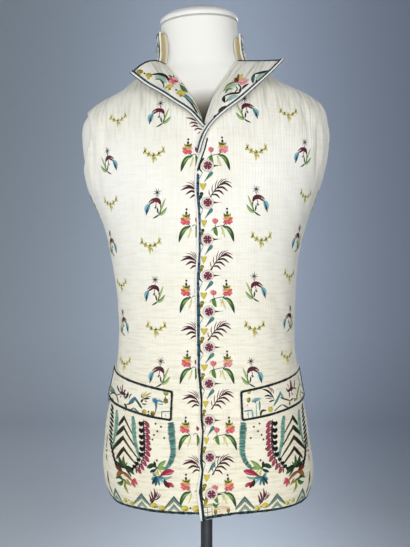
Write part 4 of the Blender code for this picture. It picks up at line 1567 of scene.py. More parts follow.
class Finish:
    """A material and the nodes that make it."""

    def __init__(self, name, roughness, colour=(0.8, 0.8, 0.8), **constants):
        self.material = bpy.data.materials.new(name)
        self.material.use_nodes = True
        self.tree = self.material.node_tree
        self.shader = self.tree.nodes["Principled BSDF"]
        self.shader.inputs["Base Color"].default_value = (*colour, 1)
        self.shader.inputs["Roughness"].default_value = roughness
        for socket, value in constants.items():
            self.shader.inputs[socket.replace("_", " ")].default_value = value

    def node(self, kind, settings=None, inputs=None, output=0):
        made = self.tree.nodes.new(kind)
        for key, value in (settings or {}).items():
            setattr(made, key, value)
        for key, value in (inputs or {}).items():
            if isinstance(value, Tone):
                self.tree.links.new(value.socket, made.inputs[key])
            else:
                made.inputs[key].default_value = value
        return Tone(self, made.outputs[output])

    def place(self):
        return self.node("ShaderNodeTexCoord", output="Object")

    def cloth_place(self):
        """The place on the cloth's own pattern, in millimetres."""
        pattern = self.node("ShaderNodeUVMap", {"uv_map": "cloth"})
        scaled = self.node("ShaderNodeVectorMath", {"operation": "SCALE"}, {0: pattern, "Scale": 1000.0})
        across, up = (self.node("ShaderNodeSeparateXYZ", None, {0: scaled}, axis) for axis in (0, 1))
        return scaled, across, up

    def place_split(self, axis):
        return self.node("ShaderNodeSeparateXYZ", None, {0: self.place()}, output=axis)

    def height(self):
        return self.place_split(2)

    def stretched(self, place, scale):
        return self.node("ShaderNodeMapping", {"vector_type": "POINT"}, {"Vector": place, "Scale": scale})

    def noise(self, place, scale, detail=2.0, roughness=0.5):
        return self.node(
            "ShaderNodeTexNoise",
            None,
            {"Vector": place, "Scale": scale, "Detail": detail, "Roughness": roughness},
        )

    def mixed(self, share, first, second, blend="MIX"):
        def whole(value):
            return value if isinstance(value, Tone) else (*value, 1)

        settings = {"data_type": "RGBA", "blend_type": blend}
        return self.node("ShaderNodeMix", settings, {0: share, 6: whole(first), 7: whole(second)}, output=2)

    def stronger(self, colour, factor):
        return self.node("ShaderNodeVectorMath", {"operation": "SCALE"}, {0: colour, "Scale": factor})

    def feed(self, socket, tone):
        self.tree.links.new(tone.socket, self.shader.inputs[socket])

    def raised(self, height, strength, distance):
        """Small relief, the height's 0 to 1 worth a distance in metres."""
        inputs = {"Height": height, "Strength": strength, "Distance": distance}
        self.feed("Normal", self.node("ShaderNodeBump", None, inputs))


def ribbed_silk():
    """Ivory silk with fine upright ribs and a faint check, mellowed with age, with painted shade in its
    puckers and gathers and over the shoulders.
    """
    finish = Finish("ribbed_silk", 0.62, Sheen_Weight=0.12, Sheen_Roughness=0.45)
    place, across, up = finish.cloth_place()
    drift = finish.noise(place, 0.05, 2.0) * 0.5
    rib = (across * (1 / 4.4) + drift).wave()
    check = (up * (1 / 5.2) + drift).wave()
    warp = (across * (1 / 0.62)).wave()
    weft = (up * (1 / 0.58)).wave()
    patches = finish.noise(place, 0.012, 3.0)
    flecks = finish.noise(place, 0.35, 2.0)
    age = ((patches - 0.5) * 3.0 + 0.35).clamped()
    low = ((0.60 - finish.height()) * 2.1).clamped()
    high = finish.height().past(0.68, 10.0)
    # painted shade: the cloth greys over the shoulders, above 0.74 m
    seam = finish.height().past(0.74, 16.0)
    # level streaks where the lower cloth puckers in, used both for the puckers' relief and for painted shade
    # in them
    level = finish.stretched(place, (0.035, 0.26, 1.0))
    level_puckers_and_shade = ((finish.noise(level, 1.0, 3.0) - 0.47) * 4.0).clamped()
    # upright streaks where the shoulders gather, used both for the gathers' relief and for painted shade in
    # them
    steep = finish.stretched(place, (0.24, 0.022, 1.0))
    gathers_and_shade = ((finish.noise(steep, 1.0, 3.0) - 0.47) * 4.0).clamped()
    base = finish.mixed(age * 0.5, (0.90, 0.888, 0.815), (0.84, 0.785, 0.63))
    base = finish.mixed(low * 0.85, base, (0.86, 0.79, 0.575))
    # painted shade in the level puckers, strongest low down
    base = finish.mixed(level_puckers_and_shade * (low * 0.56 + 0.13), base, (0.60, 0.50, 0.31))
    # painted shade in the shoulder gathers, and over the shoulders
    base = finish.mixed(gathers_and_shade * (high * 0.70 + 0.07) + seam * 0.24, base, (0.42, 0.41, 0.34))
    base = finish.mixed(rib * 0.12 + check * 0.03, base, (0.70, 0.67, 0.58))
    base = finish.mixed(flecks.past(0.55, 2.0) * 0.3, base, (0.74, 0.69, 0.56))
    finish.feed("Base Color", base)
    finish.feed("Roughness", 0.58 + rib * 0.12)
    puckers = level_puckers_and_shade * (low * 2.4 + 0.5) + gathers_and_shade * (high * 2.6 + 0.3)
    relief = rib * 0.5 + check * 0.12 + warp * weft * 0.10 + flecks * 0.2 - puckers
    finish.raised(relief, 0.55, 0.0005)
    return finish.material


def woven_linen(name, pale, dark, thread, groove, painted_shade_edge=None):
    """Linen in a plain weave, a little slubby. It may pale to another colour at its first edge, where its
    painted shade ends.
    """
    finish = Finish(name, 0.86)
    place, across, up = finish.cloth_place()
    slub = finish.stretched(place, (0.5, 0.04, 1.0))
    threads = finish.noise(slub, 1.6, 3.0)
    cross = finish.stretched(place, (0.04, 0.5, 1.0))
    wefts = finish.noise(cross, 1.6, 3.0)
    weave = (across * (1 / 0.9)).wave() * (up * (1 / 0.9)).wave()
    patches = finish.noise(place, 0.014, 3.0)
    base = finish.mixed(patches.past(0.4, 2.0), pale, dark)
    base = finish.mixed((threads * wefts * 1.5).clamped() * 0.5, base, thread)
    base = finish.mixed(weave * 0.25, base, groove)
    if painted_shade_edge is not None:
        # painted shade ending: paler over the first 5 mm from the edge
        base = finish.mixed((across * (1 / 5.0)).clamped() ** 0.7, painted_shade_edge, base)
    finish.feed("Base Color", base)
    finish.raised(weave * 0.5 + threads * 0.4 + wefts * 0.4, 0.6, 0.0004)
    return finish.material


def silk_thread():
    """Satin stitches: the thread's own colour, with fine strands across each stroke."""
    finish = Finish("silk_thread", 0.5, Specular_IOR_Level=0.22)
    place, along, across = finish.cloth_place()
    colour = finish.node("ShaderNodeAttribute", {"attribute_name": "thread"})
    wander = finish.noise(place, 0.6, 1.0)
    strands = (along * (1 / 0.55) + across * 0.9 + wander * 0.6).wave()
    shade = finish.noise(finish.place(), 160.0, 2.0)
    dark = finish.mixed(1.0, colour, (0.62, 0.60, 0.60), "MULTIPLY")
    base = finish.mixed(strands * 0.45 + shade * 0.2, colour, dark)
    finish.feed("Base Color", base)
    finish.feed("Roughness", 0.40 + strands * 0.2)
    finish.raised(strands, 0.5, 0.00025)
    return finish.material


def piping_cord():
    """A twisted cream cord."""
    finish = Finish("piping_cord", 0.6)
    _, along, round_it = finish.cloth_place()
    twist = (along * (1 / 2.2) + round_it * 0.001).wave()
    grime = finish.noise(finish.place(), 60.0, 3.0)
    base = finish.mixed(twist * 0.35, (0.88, 0.86, 0.80), (0.70, 0.66, 0.56))
    base = finish.mixed(grime.past(0.5, 2.0) * 0.5, base, (0.66, 0.58, 0.42))
    finish.feed("Base Color", base)
    finish.raised(twist, 0.5, 0.0004)
    return finish.material


def form_jersey():
    """The form's close white jersey, with a painted shadow at the foot of the neck opening and a painted
    shadow line under the cap.
    """
    finish = Finish("form_jersey", 0.8, Sheen_Weight=0.1)
    place = finish.place()
    knit = finish.noise(place, 900.0, 2.0)
    rows = (finish.height() * 900.0).wave()
    patches = finish.noise(place, 9.0, 3.0)
    base = finish.mixed(patches.past(0.45, 2.0), (0.86, 0.85, 0.80), (0.82, 0.79, 0.72))
    base = finish.mixed(knit * 0.12, base, (0.66, 0.62, 0.54))
    # painted shadow: the jersey darkens to deep brown round the foot of the neck opening
    v_shadow_distance = finish.node("ShaderNodeVectorMath", {"operation": "DISTANCE"}, {0: place, 1: V_NECK_SHADOW_FOOT}, output=1)
    base = finish.mixed(((0.076 - v_shadow_distance) * 28.0).clamped() * 0.92, base, (0.34, 0.315, 0.245))
    base = finish.mixed(((0.052 - v_shadow_distance) * 28.0).clamped() * 0.95, base, (0.055, 0.032, 0.010))
    base = finish.mixed(((0.074 - v_shadow_distance) * 17.0).clamped() * 0.97, base, (0.016, 0.009, 0.002))
    # painted shadow: a thin dark ring round the top of the neck, under the cap's lip
    top = finish.height() - finish.place_split(0) * 0.052 - 0.0006
    base = finish.mixed(top.past(0.8814, 900.0) * 0.6, base, (0.30, 0.28, 0.22))
    finish.feed("Base Color", base)
    finish.raised(knit * 0.6 + rows * 0.3, 0.4, 0.0003)
    return finish.material


def neck_cap_white():
    """A matte moulded cap, lightly rubbed, with a painted grey-blue reflection over the top of its dome."""
    finish = Finish("neck_cap_white", 0.5)
    place = finish.place()
    rubbed = finish.noise(place, 45.0, 4.0)
    base = finish.mixed(rubbed.past(0.5, 2.0), (0.83, 0.82, 0.79), (0.76, 0.74, 0.68))
    # painted reflection: the dome greys to blue towards its top, as if mirroring the dark studio above
    top = finish.height() - finish.place_split(0) * 0.052
    base = finish.mixed(top.past(0.8945, 170.0) * 0.85, base, (0.38, 0.42, 0.46))
    finish.feed("Base Color", base)
    finish.feed("Roughness", 0.42 + rubbed * 0.2)
    finish.raised(finish.noise(place, 400.0, 2.0), 0.25, 0.0002)
    return finish.material


def stand_steel():
    """Dark powder-coated steel, with a fine grain and a few paler rubs."""
    finish = Finish("stand_steel", 0.45, Metallic=0.55)
    place = finish.place()
    grain = finish.noise(place, 1400.0, 2.0)
    rubs = finish.noise(place, 22.0, 5.0)
    base = finish.mixed(rubs.past(0.55, 3.0), (0.055, 0.058, 0.062), (0.10, 0.10, 0.105))
    finish.feed("Base Color", base)
    finish.feed("Roughness", 0.36 + rubs * 0.25)
    finish.raised(grain, 0.3, 0.00015)
    return finish.material


def studio_paper_painted_light():
    """Smooth seamless paper with painted light: paler at the floor, with painted shade that deepens as it
    climbs and towards the right, and a painted pool of light near the middle.
    """
    finish = Finish("studio_paper_painted_light", 0.95)
    grain = finish.noise(finish.place(), 30.0, 2.0)
    depth = finish.place_split(1)
    # painted shade: the paper deepens in tone as it climbs the backdrop
    climb = (depth - 0.547).above_zero() + finish.height().above_zero() ** 1.5 * 0.41
    x = finish.place_split(0) / ((depth - 0.55).above_zero() * 0.2327 + 1.0)
    # painted shade towards the right, paler to the left
    painted_shade_east = (x * 0.6 + 0.5).clamped()
    pale = finish.mixed(painted_shade_east, (0.66, 0.725, 0.79), (0.275, 0.315, 0.392))
    deep = finish.mixed(painted_shade_east, (0.520, 0.595, 0.672), (0.352, 0.410, 0.527))
    tone = finish.mixed(((climb * 4.0).clamped() * 0.26 + climb * 0.224).clamped(), pale, deep)
    # a painted pool of light near the middle, narrower on the floor and dimmer high up
    spread = (x - 0.05) / (((climb * 0.51) ** 2.0).clamped() * 0.20 + 0.35)
    painted_glow = (spread * spread + 1.0) ** -2.0
    tone = finish.stronger(tone, painted_glow * (1.42 - (climb - 2.46).above_zero() * 0.33) + 0.77)
    finish.feed("Base Color", finish.mixed(grain * 0.06, tone, (0.2, 0.2, 0.2)))
    return finish.material


SILK = ribbed_silk()
LINEN = woven_linen(
    "plain_linen", (0.74, 0.69, 0.58), (0.66, 0.60, 0.48), (0.82, 0.78, 0.69), (0.50, 0.45, 0.36)
)
# the lining's tan, darkened with painted shade, paling at its inner edge where the shade ends
TAN_LINEN_PAINTED_SHADE = woven_linen(
    "tan_linen_painted_shade", (0.47, 0.37, 0.17), (0.36, 0.27, 0.115), (0.54, 0.44, 0.24), (0.24, 0.17, 0.07),
    painted_shade_edge=(0.78, 0.74, 0.64),
)
THREAD = silk_thread()
PIPING = piping_cord()
JERSEY = form_jersey()
CAP_WHITE = neck_cap_white()
STEEL = stand_steel()


# ---- the fronts and backs ----


def make_fronts():
    made = {}
    for side, name in ((1, "front_left"), (-1, "front_right")):
        left, right = front_outline(side)
        grid = between(left, right, FRONT_COLUMNS)
        place = front_by_turn(side)
        front = sheet(name + "_silk", grid, place, SILK, "ivory_silk", name, flipped=side < 0)
        work = Needlework(by_distance(place), side)
        sprigs(work)
        border(work)
        pocket(work)
        hem_border(work)
        stitched = work.piece(name + "_embroidery", THREAD, "ivory_silk")
        edging = Needlework(by_distance(place), side)
        inner, hem, up = edge_line(side)
        if side > 0:
            start = np.array(EDGE_LINE_START) * MM
            upper = inset(inner, 0.0022)[(inner[:, 1] < 0.645) & (inner[:, 1] > 0.47)]
            trim(edging, start, 2.7, "raven soot navy")
        else:
            upper = inset(inner[inner[:, 1] > 0.47], 0.0022)
        middle = inner[(inner[:, 1] <= 0.475) & (inner[:, 1] > 0.36)]
        lower = inner[inner[:, 1] <= 0.365]
        trim(edging, upper, 3.9, "steel steel iron navy")
        trim(edging, inset(middle, 0.0022), 3.8, "lake raven steel lake")
        trim(edging, inset(lower, 0.0022), 3.9, BLACK_GREENS)
        trim(edging, inset(hem, 0.0024), 4.2, "raven lake soot raven")
        trim(edging, inset(up, 0.0034), 6.0, BLACK_GREENS)
        lines = edging.piece(name + "_edge_line", THREAD, "ivory_silk")
        piping = make_piping(name + "_piping", place, inner, side)
        made[side] = front
    return made


def make_piping(name, place, outline, side):
    """The white cord sewn along a front's edge."""
    line_at = resampled(outline, 0.004)
    radius = np.interp(line_at[:, 1], PIPING_HEIGHTS, PIPING_RADII[side])
    turns = turn_for(line_at[:, 0] - radius + 0.0008, line_at[:, 1])
    points = place(turns, line_at[:, 1], 0.0012)
    skin, faces, pattern = cord(points, radius)
    mesh = mesh_from(name, skin, faces, pattern)
    return new_piece(name, mesh, PIPING, "ivory_silk")


def make_backs():
    """Two plain linen halves, with a line of hand stitches along their hems, vents and armholes."""
    left, right, _ = back_outline()
    for side, name in ((1, "back_left"), (-1, "back_right")):
        place = back_by_turn(side)
        back = sheet(name + "_linen", back_grid(), place, LINEN, "back_linen", name, flipped=side > 0)
        work = Needlework(by_distance(place), side)
        edge = np.stack([distance_at(right[:, 0], right[:, 1]), right[:, 1]], 1)
        hem = np.stack([np.linspace(distance_at(left[0, 0], HEM), edge[0, 0], 60), np.full(60, HEM)], 1)
        for outline in (inset(hem, -0.008)[2:-4], inset(edge, -0.006)[4:-3]):
            places = resampled(outline, 0.0042) / MM
            for start, end in zip(places, places[1:]):
                work.stroke([start, start + (end - start) * 0.62], 0.55, "cream", "bar", 0.25, steps=2)
        stitches = work.piece(name + "_stitching", THREAD, "back_linen")


# ---- the collar, lapels and flaps ----


def collar_surface(turn_seam, height, share, lift):
    foot = height + CLOTH * outward(turn_seam, height)[..., 2] + COLLAR_SEAM
    turn = 180 + (turn_seam - 180) * (1 - COLLAR_SLANT * share)
    top = COLLAR_TOP - COLLAR_TILT * np.sin(np.radians(turn))
    point = upright(turn, foot + (top - foot) * share)
    away = point * (1, 1, 0)
    away = unit(away)
    stand_off = GAP + (COLLAR_STAND_OFF - GAP) * np.minimum(share * 2, 1) + lift
    return leaned(point + away * stand_off[..., None])


def collar_seam():
    front = front_neckline(8)[8:-1]
    half = np.concatenate([front, back_neckline(40)[::-1]])
    other = half[-2::-1] * (-1, 1) + (360, 0)
    return np.concatenate([half, other])


def make_collar():
    seam = collar_seam()
    rows = 16
    share = np.linspace(0, 1, rows + 1)[:, None]
    turns = np.broadcast_to(seam[:, 0], (rows + 1, len(seam)))
    heights = np.broadcast_to(seam[:, 1], (rows + 1, len(seam)))
    shares = np.broadcast_to(share, turns.shape)
    points = collar_surface(turns, heights, shares, np.zeros(turns.shape))
    along = travelled(points[8])
    tall = float(np.linalg.norm(points[-1, 0] - points[0, 0]))
    patterns = np.stack([np.broadcast_to(along, turns.shape), shares * tall], -1)
    mesh = mesh_from("standing_collar", points, grid_faces(*turns.shape), patterns)
    collar = new_piece("standing_collar", mesh, SILK, "ivory_silk", "collar")
    walled(collar)

    def surface(spots, lift):
        turn = np.interp(spots[:, 0], along, seam[:, 0])
        height = np.interp(spots[:, 0], along, seam[:, 1])
        return collar_surface(turn, height, spots[:, 1] / tall, WALL + lift)

    work = Needlework(surface)
    length, top = along[-1] / MM, tall / MM
    rim = [(2.2, 0.5), (2.2, top - 2.2), (length - 2.2, top - 2.2), (length - 2.2, 0.5)]
    trim(work, np.array(rim[:2]) * MM, 4.4, "soot raven navy")
    trim(work, np.array(rim[1:3]) * MM, 2.4, "raven teal steel")
    trim(work, np.array(rim[2:]) * MM, 4.4, "soot raven navy")
    count = 13
    for number in range(count):
        middle = length * (number + 0.5) / count
        chevron(Spot(work, middle, top * 0.72), 10, 14, 3.0, "teal", "pine")
        chevron(Spot(work, middle, top * 0.50), 8, 11, 2.0, "mist")
        bow(Spot(work, length * number / count + 3, top * 0.2), 3.4)
    for end, way in ((0, 1), (length, -1)):
        for height in (8, 15, 22, 29):
            middle = end + way * 7.5
            work.stroke([(middle - 2, height - 3), (middle + 3 * way, height + 3)], 2.6, "steel aqua")
    stitched = work.piece("collar_embroidery", THREAD, "ivory_silk")
    for name, column in (("collar_piping_left", 0), ("collar_piping_right", -1)):
        sway = np.sin(np.linspace(0, 9, rows + 1))[:, None] * 0.0004
        front = points[:, column] + unit(points[:, column] * (1, 1, 0)) * (0.0009 + sway)
        skin, faces, pattern = cord(front, 0.0016)
        new_piece(name, mesh_from(name, skin, faces, pattern), PIPING, "ivory_silk")


def make_collar_facing(side):
    """The tan lining of the collar where its front end flares away from the neck, darkened with painted
    shade.
    """
    seam_turn, seam_height = collar_seam()[0]
    top, wide = FACING[side]
    share, across = np.meshgrid(np.linspace(0.02, top, 15), np.linspace(0, 1, 9), indexing="ij")
    narrowed = wide * (1 - 0.45 * (share / top) ** 8)
    turn = seam_turn - narrowed * (1 - across)
    stand_off = GAP + (COLLAR_STAND_OFF - GAP) * np.minimum(share * 2, 1)
    lift = -(stand_off - 0.0006) * (1 - across) ** 1.6
    points = collar_surface(turn if side > 0 else 360 - turn, np.full(turn.shape, seam_height), share, lift)
    tall = np.linalg.norm(points[-1, 0] - points[0, 0])
    broad = np.linalg.norm(points[7, -1] - points[7, 0])
    patterns = np.stack([across * broad, share * tall], -1)
    name = "collar_facing_left" if side > 0 else "collar_facing_right"
    faces = grid_faces(*share.shape, flipped=side < 0)
    facing = new_piece(name, mesh_from(name, points, faces, patterns), TAN_LINEN_PAINTED_SHADE, "back_linen")
    walled(facing, 0.0007)
    width, length, area = FACING_CUT[side]


class Lapel:
    """A front's turned-back top: across from its roll line to its outer edge, and up from its foot."""

    def __init__(self, side):
        factor = 6
        self.side = side
        skip = LAPEL_SKIP[side] * factor
        roll = roll_line(side, factor)[skip:]
        point = upright(roll[:, 0], roll[:, 1])
        self.lift = CLOTH + GAP + (overlap_lift(point[:, 0]) if side > 0 else np.zeros(len(roll)))
        self.normal = outward(roll[:, 0], roll[:, 1])
        self.base = point
        self.roll = point + self.normal * self.lift[:, None]
        self.edge = stepped(LAPEL_EDGES[side], len(roll) - 1)
        self.rows = len(roll)
        self.shares = np.linspace(0, 1, self.rows)

    def upright_place(self, across, up):
        def row(table):
            return np.stack([np.interp(up, self.shares, table[:, c]) for c in range(3)], -1)

        inner, outer = row(self.roll), row(self.edge)
        spread = outer - inner
        climb = row(np.gradient(self.edge, axis=0))
        out = unit(np.cross(spread, climb))
        width = np.linalg.norm(spread, axis=-1, keepdims=True)
        middle = (inner + outer) / 2 + out * LAPEL_BULGE * eased(width / LAPEL_FULL)
        middle[..., 2] += 2 * LAPEL_ARCH[self.side] * up**3
        across = across[..., None]
        curved = inner * (1 - across) ** 2 + middle * 2 * across * (1 - across) + outer * across**2
        ripple = np.sin(across * 9 + up[..., None] * 7) * 0.0005 * across * (1 - up[..., None])
        curved = curved + out * ripple
        if self.side > 0:
            curved[..., 0] += wandered(curved[..., 0], curved[..., 2])
        return curved

    def place(self, across, up, lift=0.0):
        point = self.upright_place(across, up)
        if np.any(lift):
            step = 0.01
            wide = self.upright_place(across + step, up) - self.upright_place(across - step, up)
            tall = self.upright_place(across, up + step) - self.upright_place(across, up - step)
            point = point + unit(np.cross(wide, tall)) * np.asarray(lift)[..., None]
        return leaned(point * (self.side, 1, 1))

    def rolled(self, count):
        """The soft fold at the roll line, from under the front's edge round to the lapel."""
        away = unit(self.roll - self.edge)
        away = unit(away - self.normal * np.sum(away * self.normal, axis=1, keepdims=True))
        radius = self.lift[:, None] / 2
        centre = self.base + self.normal * radius
        angle = np.linspace(0, math.pi, count, endpoint=False)[None, :, None]
        ring = -np.cos(angle) * self.normal[:, None] + np.sin(angle) * away[:, None]
        points = centre[:, None] + ring * radius[:, None]
        if self.side > 0:
            points[..., 0] += wandered(points[..., 0], points[..., 2])
        return leaned(points * (self.side, 1, 1))

    def found(self, targets):
        """The across and up of places given by their x and height in millimetres."""
        across, up = np.meshgrid(np.linspace(0, 1, 41), np.linspace(0, 1, 61))
        across, up = across.ravel(), up.ravel()
        known = self.place(across, up)[:, (0, 2)] / MM
        nearest = np.argmin(((targets[:, None] - known[None]) ** 2).sum(-1), axis=1)
        a, u = across[nearest], up[nearest]
        for _ in range(4):
            here = self.place(a, u)[:, (0, 2)] / MM
            by_a = (self.place(a + 0.01, u)[:, (0, 2)] / MM - here) / 0.01
            by_u = (self.place(a, u + 0.01)[:, (0, 2)] / MM - here) / 0.01
            miss = targets - here
            whole = by_a[:, 0] * by_u[:, 1] - by_a[:, 1] * by_u[:, 0]
            whole = np.where(np.abs(whole) < 1e-3, 1e-3, whole)
            step_a = (miss[:, 0] * by_u[:, 1] - miss[:, 1] * by_u[:, 0]) / whole
            step_u = (by_a[:, 0] * miss[:, 1] - by_a[:, 1] * miss[:, 0]) / whole
            a = np.clip(a + np.clip(step_a, -0.1, 0.1), 0.0, 1.02)
            u = np.clip(u + np.clip(step_u, -0.1, 0.1), 0.0, 1.0)
        return a, u


LAPEL_FIGURES = {
    -1: """
round 6.8 gold olive olive -102 791.5 -97 792.4 -92 790.5
petal 4.6 olive gold -98 790 -96 786
round 2.8 ink -91.4 790 -89 788.2
round 7 gold gold olive -89 785 -84 786.4 -79 784.4
petal 5.2 olive gold -85 784 -83 779
leaf 7 mist mint mist -76 783 -66 782.5 -58 772
swell 4.6 raven ink jet -79.6 787 -67.6 788.6 -59 784.6 -54 774.5
stem 1.7 pine -75 779.5 -68 779.4 -62 770
stem 1.7 pine -64 779 -62.5 772 -61.5 765.5
leaf 2.8 jet pine -56.5 788 -52 785 -48.5 781
leaf 1.8 moss -50 789 -48 784
petal 5.8 ruby coral coral -49.5 778.7 -52.5 780.8 -55.9 782.8
petal 5.8 ruby pink pink -49.5 778.7 -53.1 777.2 -56.5 775.2
petal 5.4 coral blush -49.5 778.7 -49.9 782.2 -50.5 785.8
petal 5.8 ruby pink blush -49.5 778.7 -46.5 781.2 -43.5 784.2
petal 5.6 maroon ruby coral -49.5 778.7 -45.5 778.4 -42.1 776.8
petal 6.2 ruby coral pink -49.5 778.7 -48.9 774.8 -48.5 770.8
stem 2 pine -39 776 -32 774 -25 763
leaf 5 pine grass pine -40 773 -35 768 -28.5 760
leaf 3.6 grass pine -39 769 -35 764 -33.5 757
round 6.6 olive gold gold -59 767 -53.7 768.6 -48.6 767.5
petal 4.8 gold olive -54.4 766.4 -53 762
leaf 1.8 moss -59.6 764 -57 770
round 3 ink -45.6 763.4 -43 762
round 7.8 olive gold gold -44 757 -37.5 759.2 -31.6 758.5
petal 5.4 gold olive -38.5 757 -37 751.6
leaf 5.6 steel aqua teal -36 754 -28 751 -19.5 739
stem 1.9 moss olive pine -34 758 -25 751 -16.5 738 -8.5 722
stem 2.8 jet raven jet -32 753 -23 742 -14 727
""",
    1: """
petal 6 ruby maroon 47 777 44 779.6 40.6 782
petal 5.4 maroon ruby 47 777 43 776.5 39.4 777.5
petal 5.6 olive gold gold 47 778 49.5 783 52 788.5
leaf 3.8 olive moss 46.5 779 46 784 47.5 789.5
petal 5.8 coral pink blush 48 777 53 779 59 778.5
petal 5 coral pink 47.5 776 50 773.5 52 769.5
leaf 4.8 coral pink pink 48.5 770.6 54 773.5 61.5 779.6
leaf 6.4 grass lime mist 26.5 762 34 769.5 44.5 770.5
swell 2.4 pine pine grass 24.5 760 31.5 772 43.5 775.4 49 772.8
stem 1.8 pine 27 758 31 763.4 37 764.4
stem 2.1 ink 45 772.5 49 765.5 46 760
stem 1.6 pine 42 768.4 44 763 40 758
leaf 6.8 mist aqua mist 71 776 78 783.5 90 788
swell 5 raven teal ink 66.5 772.5 67 781 69.8 787.8
swell 4.2 jet pine raven 69.4 787.6 80 789.4 91 792
stem 2 navy 70 774 76 782 86 785
leaf 3.6 moss ink 50 762.6 55 768 61 771.8
leaf 6 slate aqua mist 29.5 745.5 36.5 751 45.5 753
swell 5 jet ink raven 26 742.5 24.5 748 26 753.4
swell 3.6 raven pine jet 26 753 34.5 756.4 46 757.6 50 762.8
stem 2 jet 27.5 743.5 32 749 37.5 752.5
leaf 4.8 moss jet moss 16.6 728 22 733.6 28 738
leaf 2.8 jet 10 720 14.6 724.8
stem 1.6 olive 13 722 18 728 22 731
leaf 5.4 olive gold straw 8 711 9.5 718.4
leaf 4.6 gold gold olive 86 788 91 791.4 95 796
leaf 4.2 straw gold olive 93 792 98 797 101 802
leaf 3 rust moss 102 801 106 804.5 111 808
""",
}


def make_lapels():
    for side, node, cut, area in (
        (1, "lapel_left", (0.105, 0.19), 0.0083),
        (-1, "lapel_right", (0.10, 0.145), 0.0062),
    ):
        lapel = Lapel(side)
        columns = 36
        across, up = np.meshgrid(np.linspace(0, 1, columns), lapel.shares)
        flat = lapel.place(across, up)
        roll = lapel.rolled(7)
        points = np.concatenate([roll, flat], axis=1)
        wide = np.array([travelled(row) for row in points])
        tall = travelled(flat[:, 0])
        patterns = np.stack([wide, np.broadcast_to(tall[:, None], wide.shape)], -1)
        faces = grid_faces(*points.shape[:2], flipped=side < 0)
        mesh = mesh_from(node + "_silk", points, faces, patterns)
        piece = new_piece(node + "_silk", mesh, SILK, "ivory_silk", node)
        walled(piece)

        def surface(spots, lift, lapel=lapel):
            a, u = lapel.found(spots / MM)
            return lapel.place(a, u, WALL + lift)

        work = Needlework(surface)
        worked(work, LAPEL_FIGURES[side])
        stitched = work.piece(node + "_embroidery", THREAD, "ivory_silk")

        edging = LapelEdging(None)
        outer = edging.line(lapel, np.full(lapel.rows, 1.0), lapel.shares, 0.0054)
        # the rim line: thin dark stitches at the very edge, painted shade standing for the lapel's edge seen
        # end-on
        rim = edging.line(lapel, np.full(lapel.rows, 1.0), lapel.shares, 0.0002)
        top = edging.line(lapel, np.linspace(0.02, 0.97, 50), np.full(50, 1.0), 0.0022, along_top=True)
        edging.run(outer, 3.2, "raven steel raven lake")
        edging.run(top, 3.2, "raven ink raven steel")
        edging.run(rim, 1.5, "steel raven grey")
        lines = edging.piece(node + "_edge_line", THREAD, "ivory_silk")
        points, normals = edging.line(lapel, np.full(lapel.rows, 1.0), lapel.shares, 0.0022)
        skin, pipe_faces, pattern = cord(resampled(points + normals * 0.0002, 0.004), 0.0015)
        pipe = mesh_from(node + "_piping", skin, pipe_faces, pattern)
        piping = new_piece(node + "_piping", pipe, PIPING, "ivory_silk")


class LapelEdging(Needlework):
    """Slanted stitches along lines that are given as points on the lapel itself."""

    def line(self, lapel, across, up, inwards, along_top=False):
        points = lapel.place(across, up, WALL)
        if along_top:
            lower = lapel.place(across, np.full(len(up), 0.97), WALL)
            return points + unit(lower - points) * inwards, self.normals(lapel, across, up)
        inner = lapel.place(across - 0.05, up, WALL)
        reach = np.minimum(inwards, 0.85 * np.linalg.norm(inner - points, axis=1) / 0.05)[:, None]
        return points + unit(inner - points) * reach, self.normals(lapel, across, up)

    @staticmethod
    def normals(lapel, across, up):
        return unit(lapel.place(across, up, 0.001) - lapel.place(across, up))

    def run(self, line_and_normals, width, tones, step=3.4, rise=0.8):
        points, normals = line_and_normals
        tones = tones.split()
        both = resampled(np.concatenate([points, normals * 0.0001], axis=1), step * MM)
        points, normals = both[:, :3], unit(both[:, 3:])
        ahead = unit(np.gradient(points, axis=0))
        side = np.cross(normals, ahead)
        share = np.linspace(0, 1, 5)
        half = width / 2 * MM * SHAPES["swell"](share)
        for number in range(len(points) - 1):
            start = points[number] - ahead[number] * step * 0.3 * MM - side[number] * width * 0.15 * MM
            end = points[number + 1] + ahead[number] * step * 0.3 * MM + side[number] * width * 0.15 * MM
            middle = start[None] + (end - start)[None] * share[:, None]
            ring = middle[:, None] + side[number] * (half[:, None] * self.ACROSS)[..., None]
            ring = ring + normals[number] * (self.CROWN * rise * MM + 0.0003)[None, :, None]
            tone = THREADS[tones[number % len(tones)]]
            self.spots.append(ring.reshape(-1, 3))
            self.lifts.append(np.zeros(30))
            self.colours.append(np.tile(tone, (30, 1)))
            pattern = np.stack(np.broadcast_arrays((share * step)[:, None], self.ACROSS * width / 2), -1)
            self.patterns.append(pattern.reshape(-1, 2) * MM)
            self.faces += [tuple(f + self.count) for f in grid_faces(5, 6, closed=True)]
            self.faces.append(tuple(self.count + i for i in range(6))[::-1])
            self.faces.append(tuple(self.count + 24 + i for i in range(6)))
            self.count += 30

    def piece(self, name, finish, slot):
        self.surface = lambda spots, lifts: spots
        return super().piece(name, finish, slot)


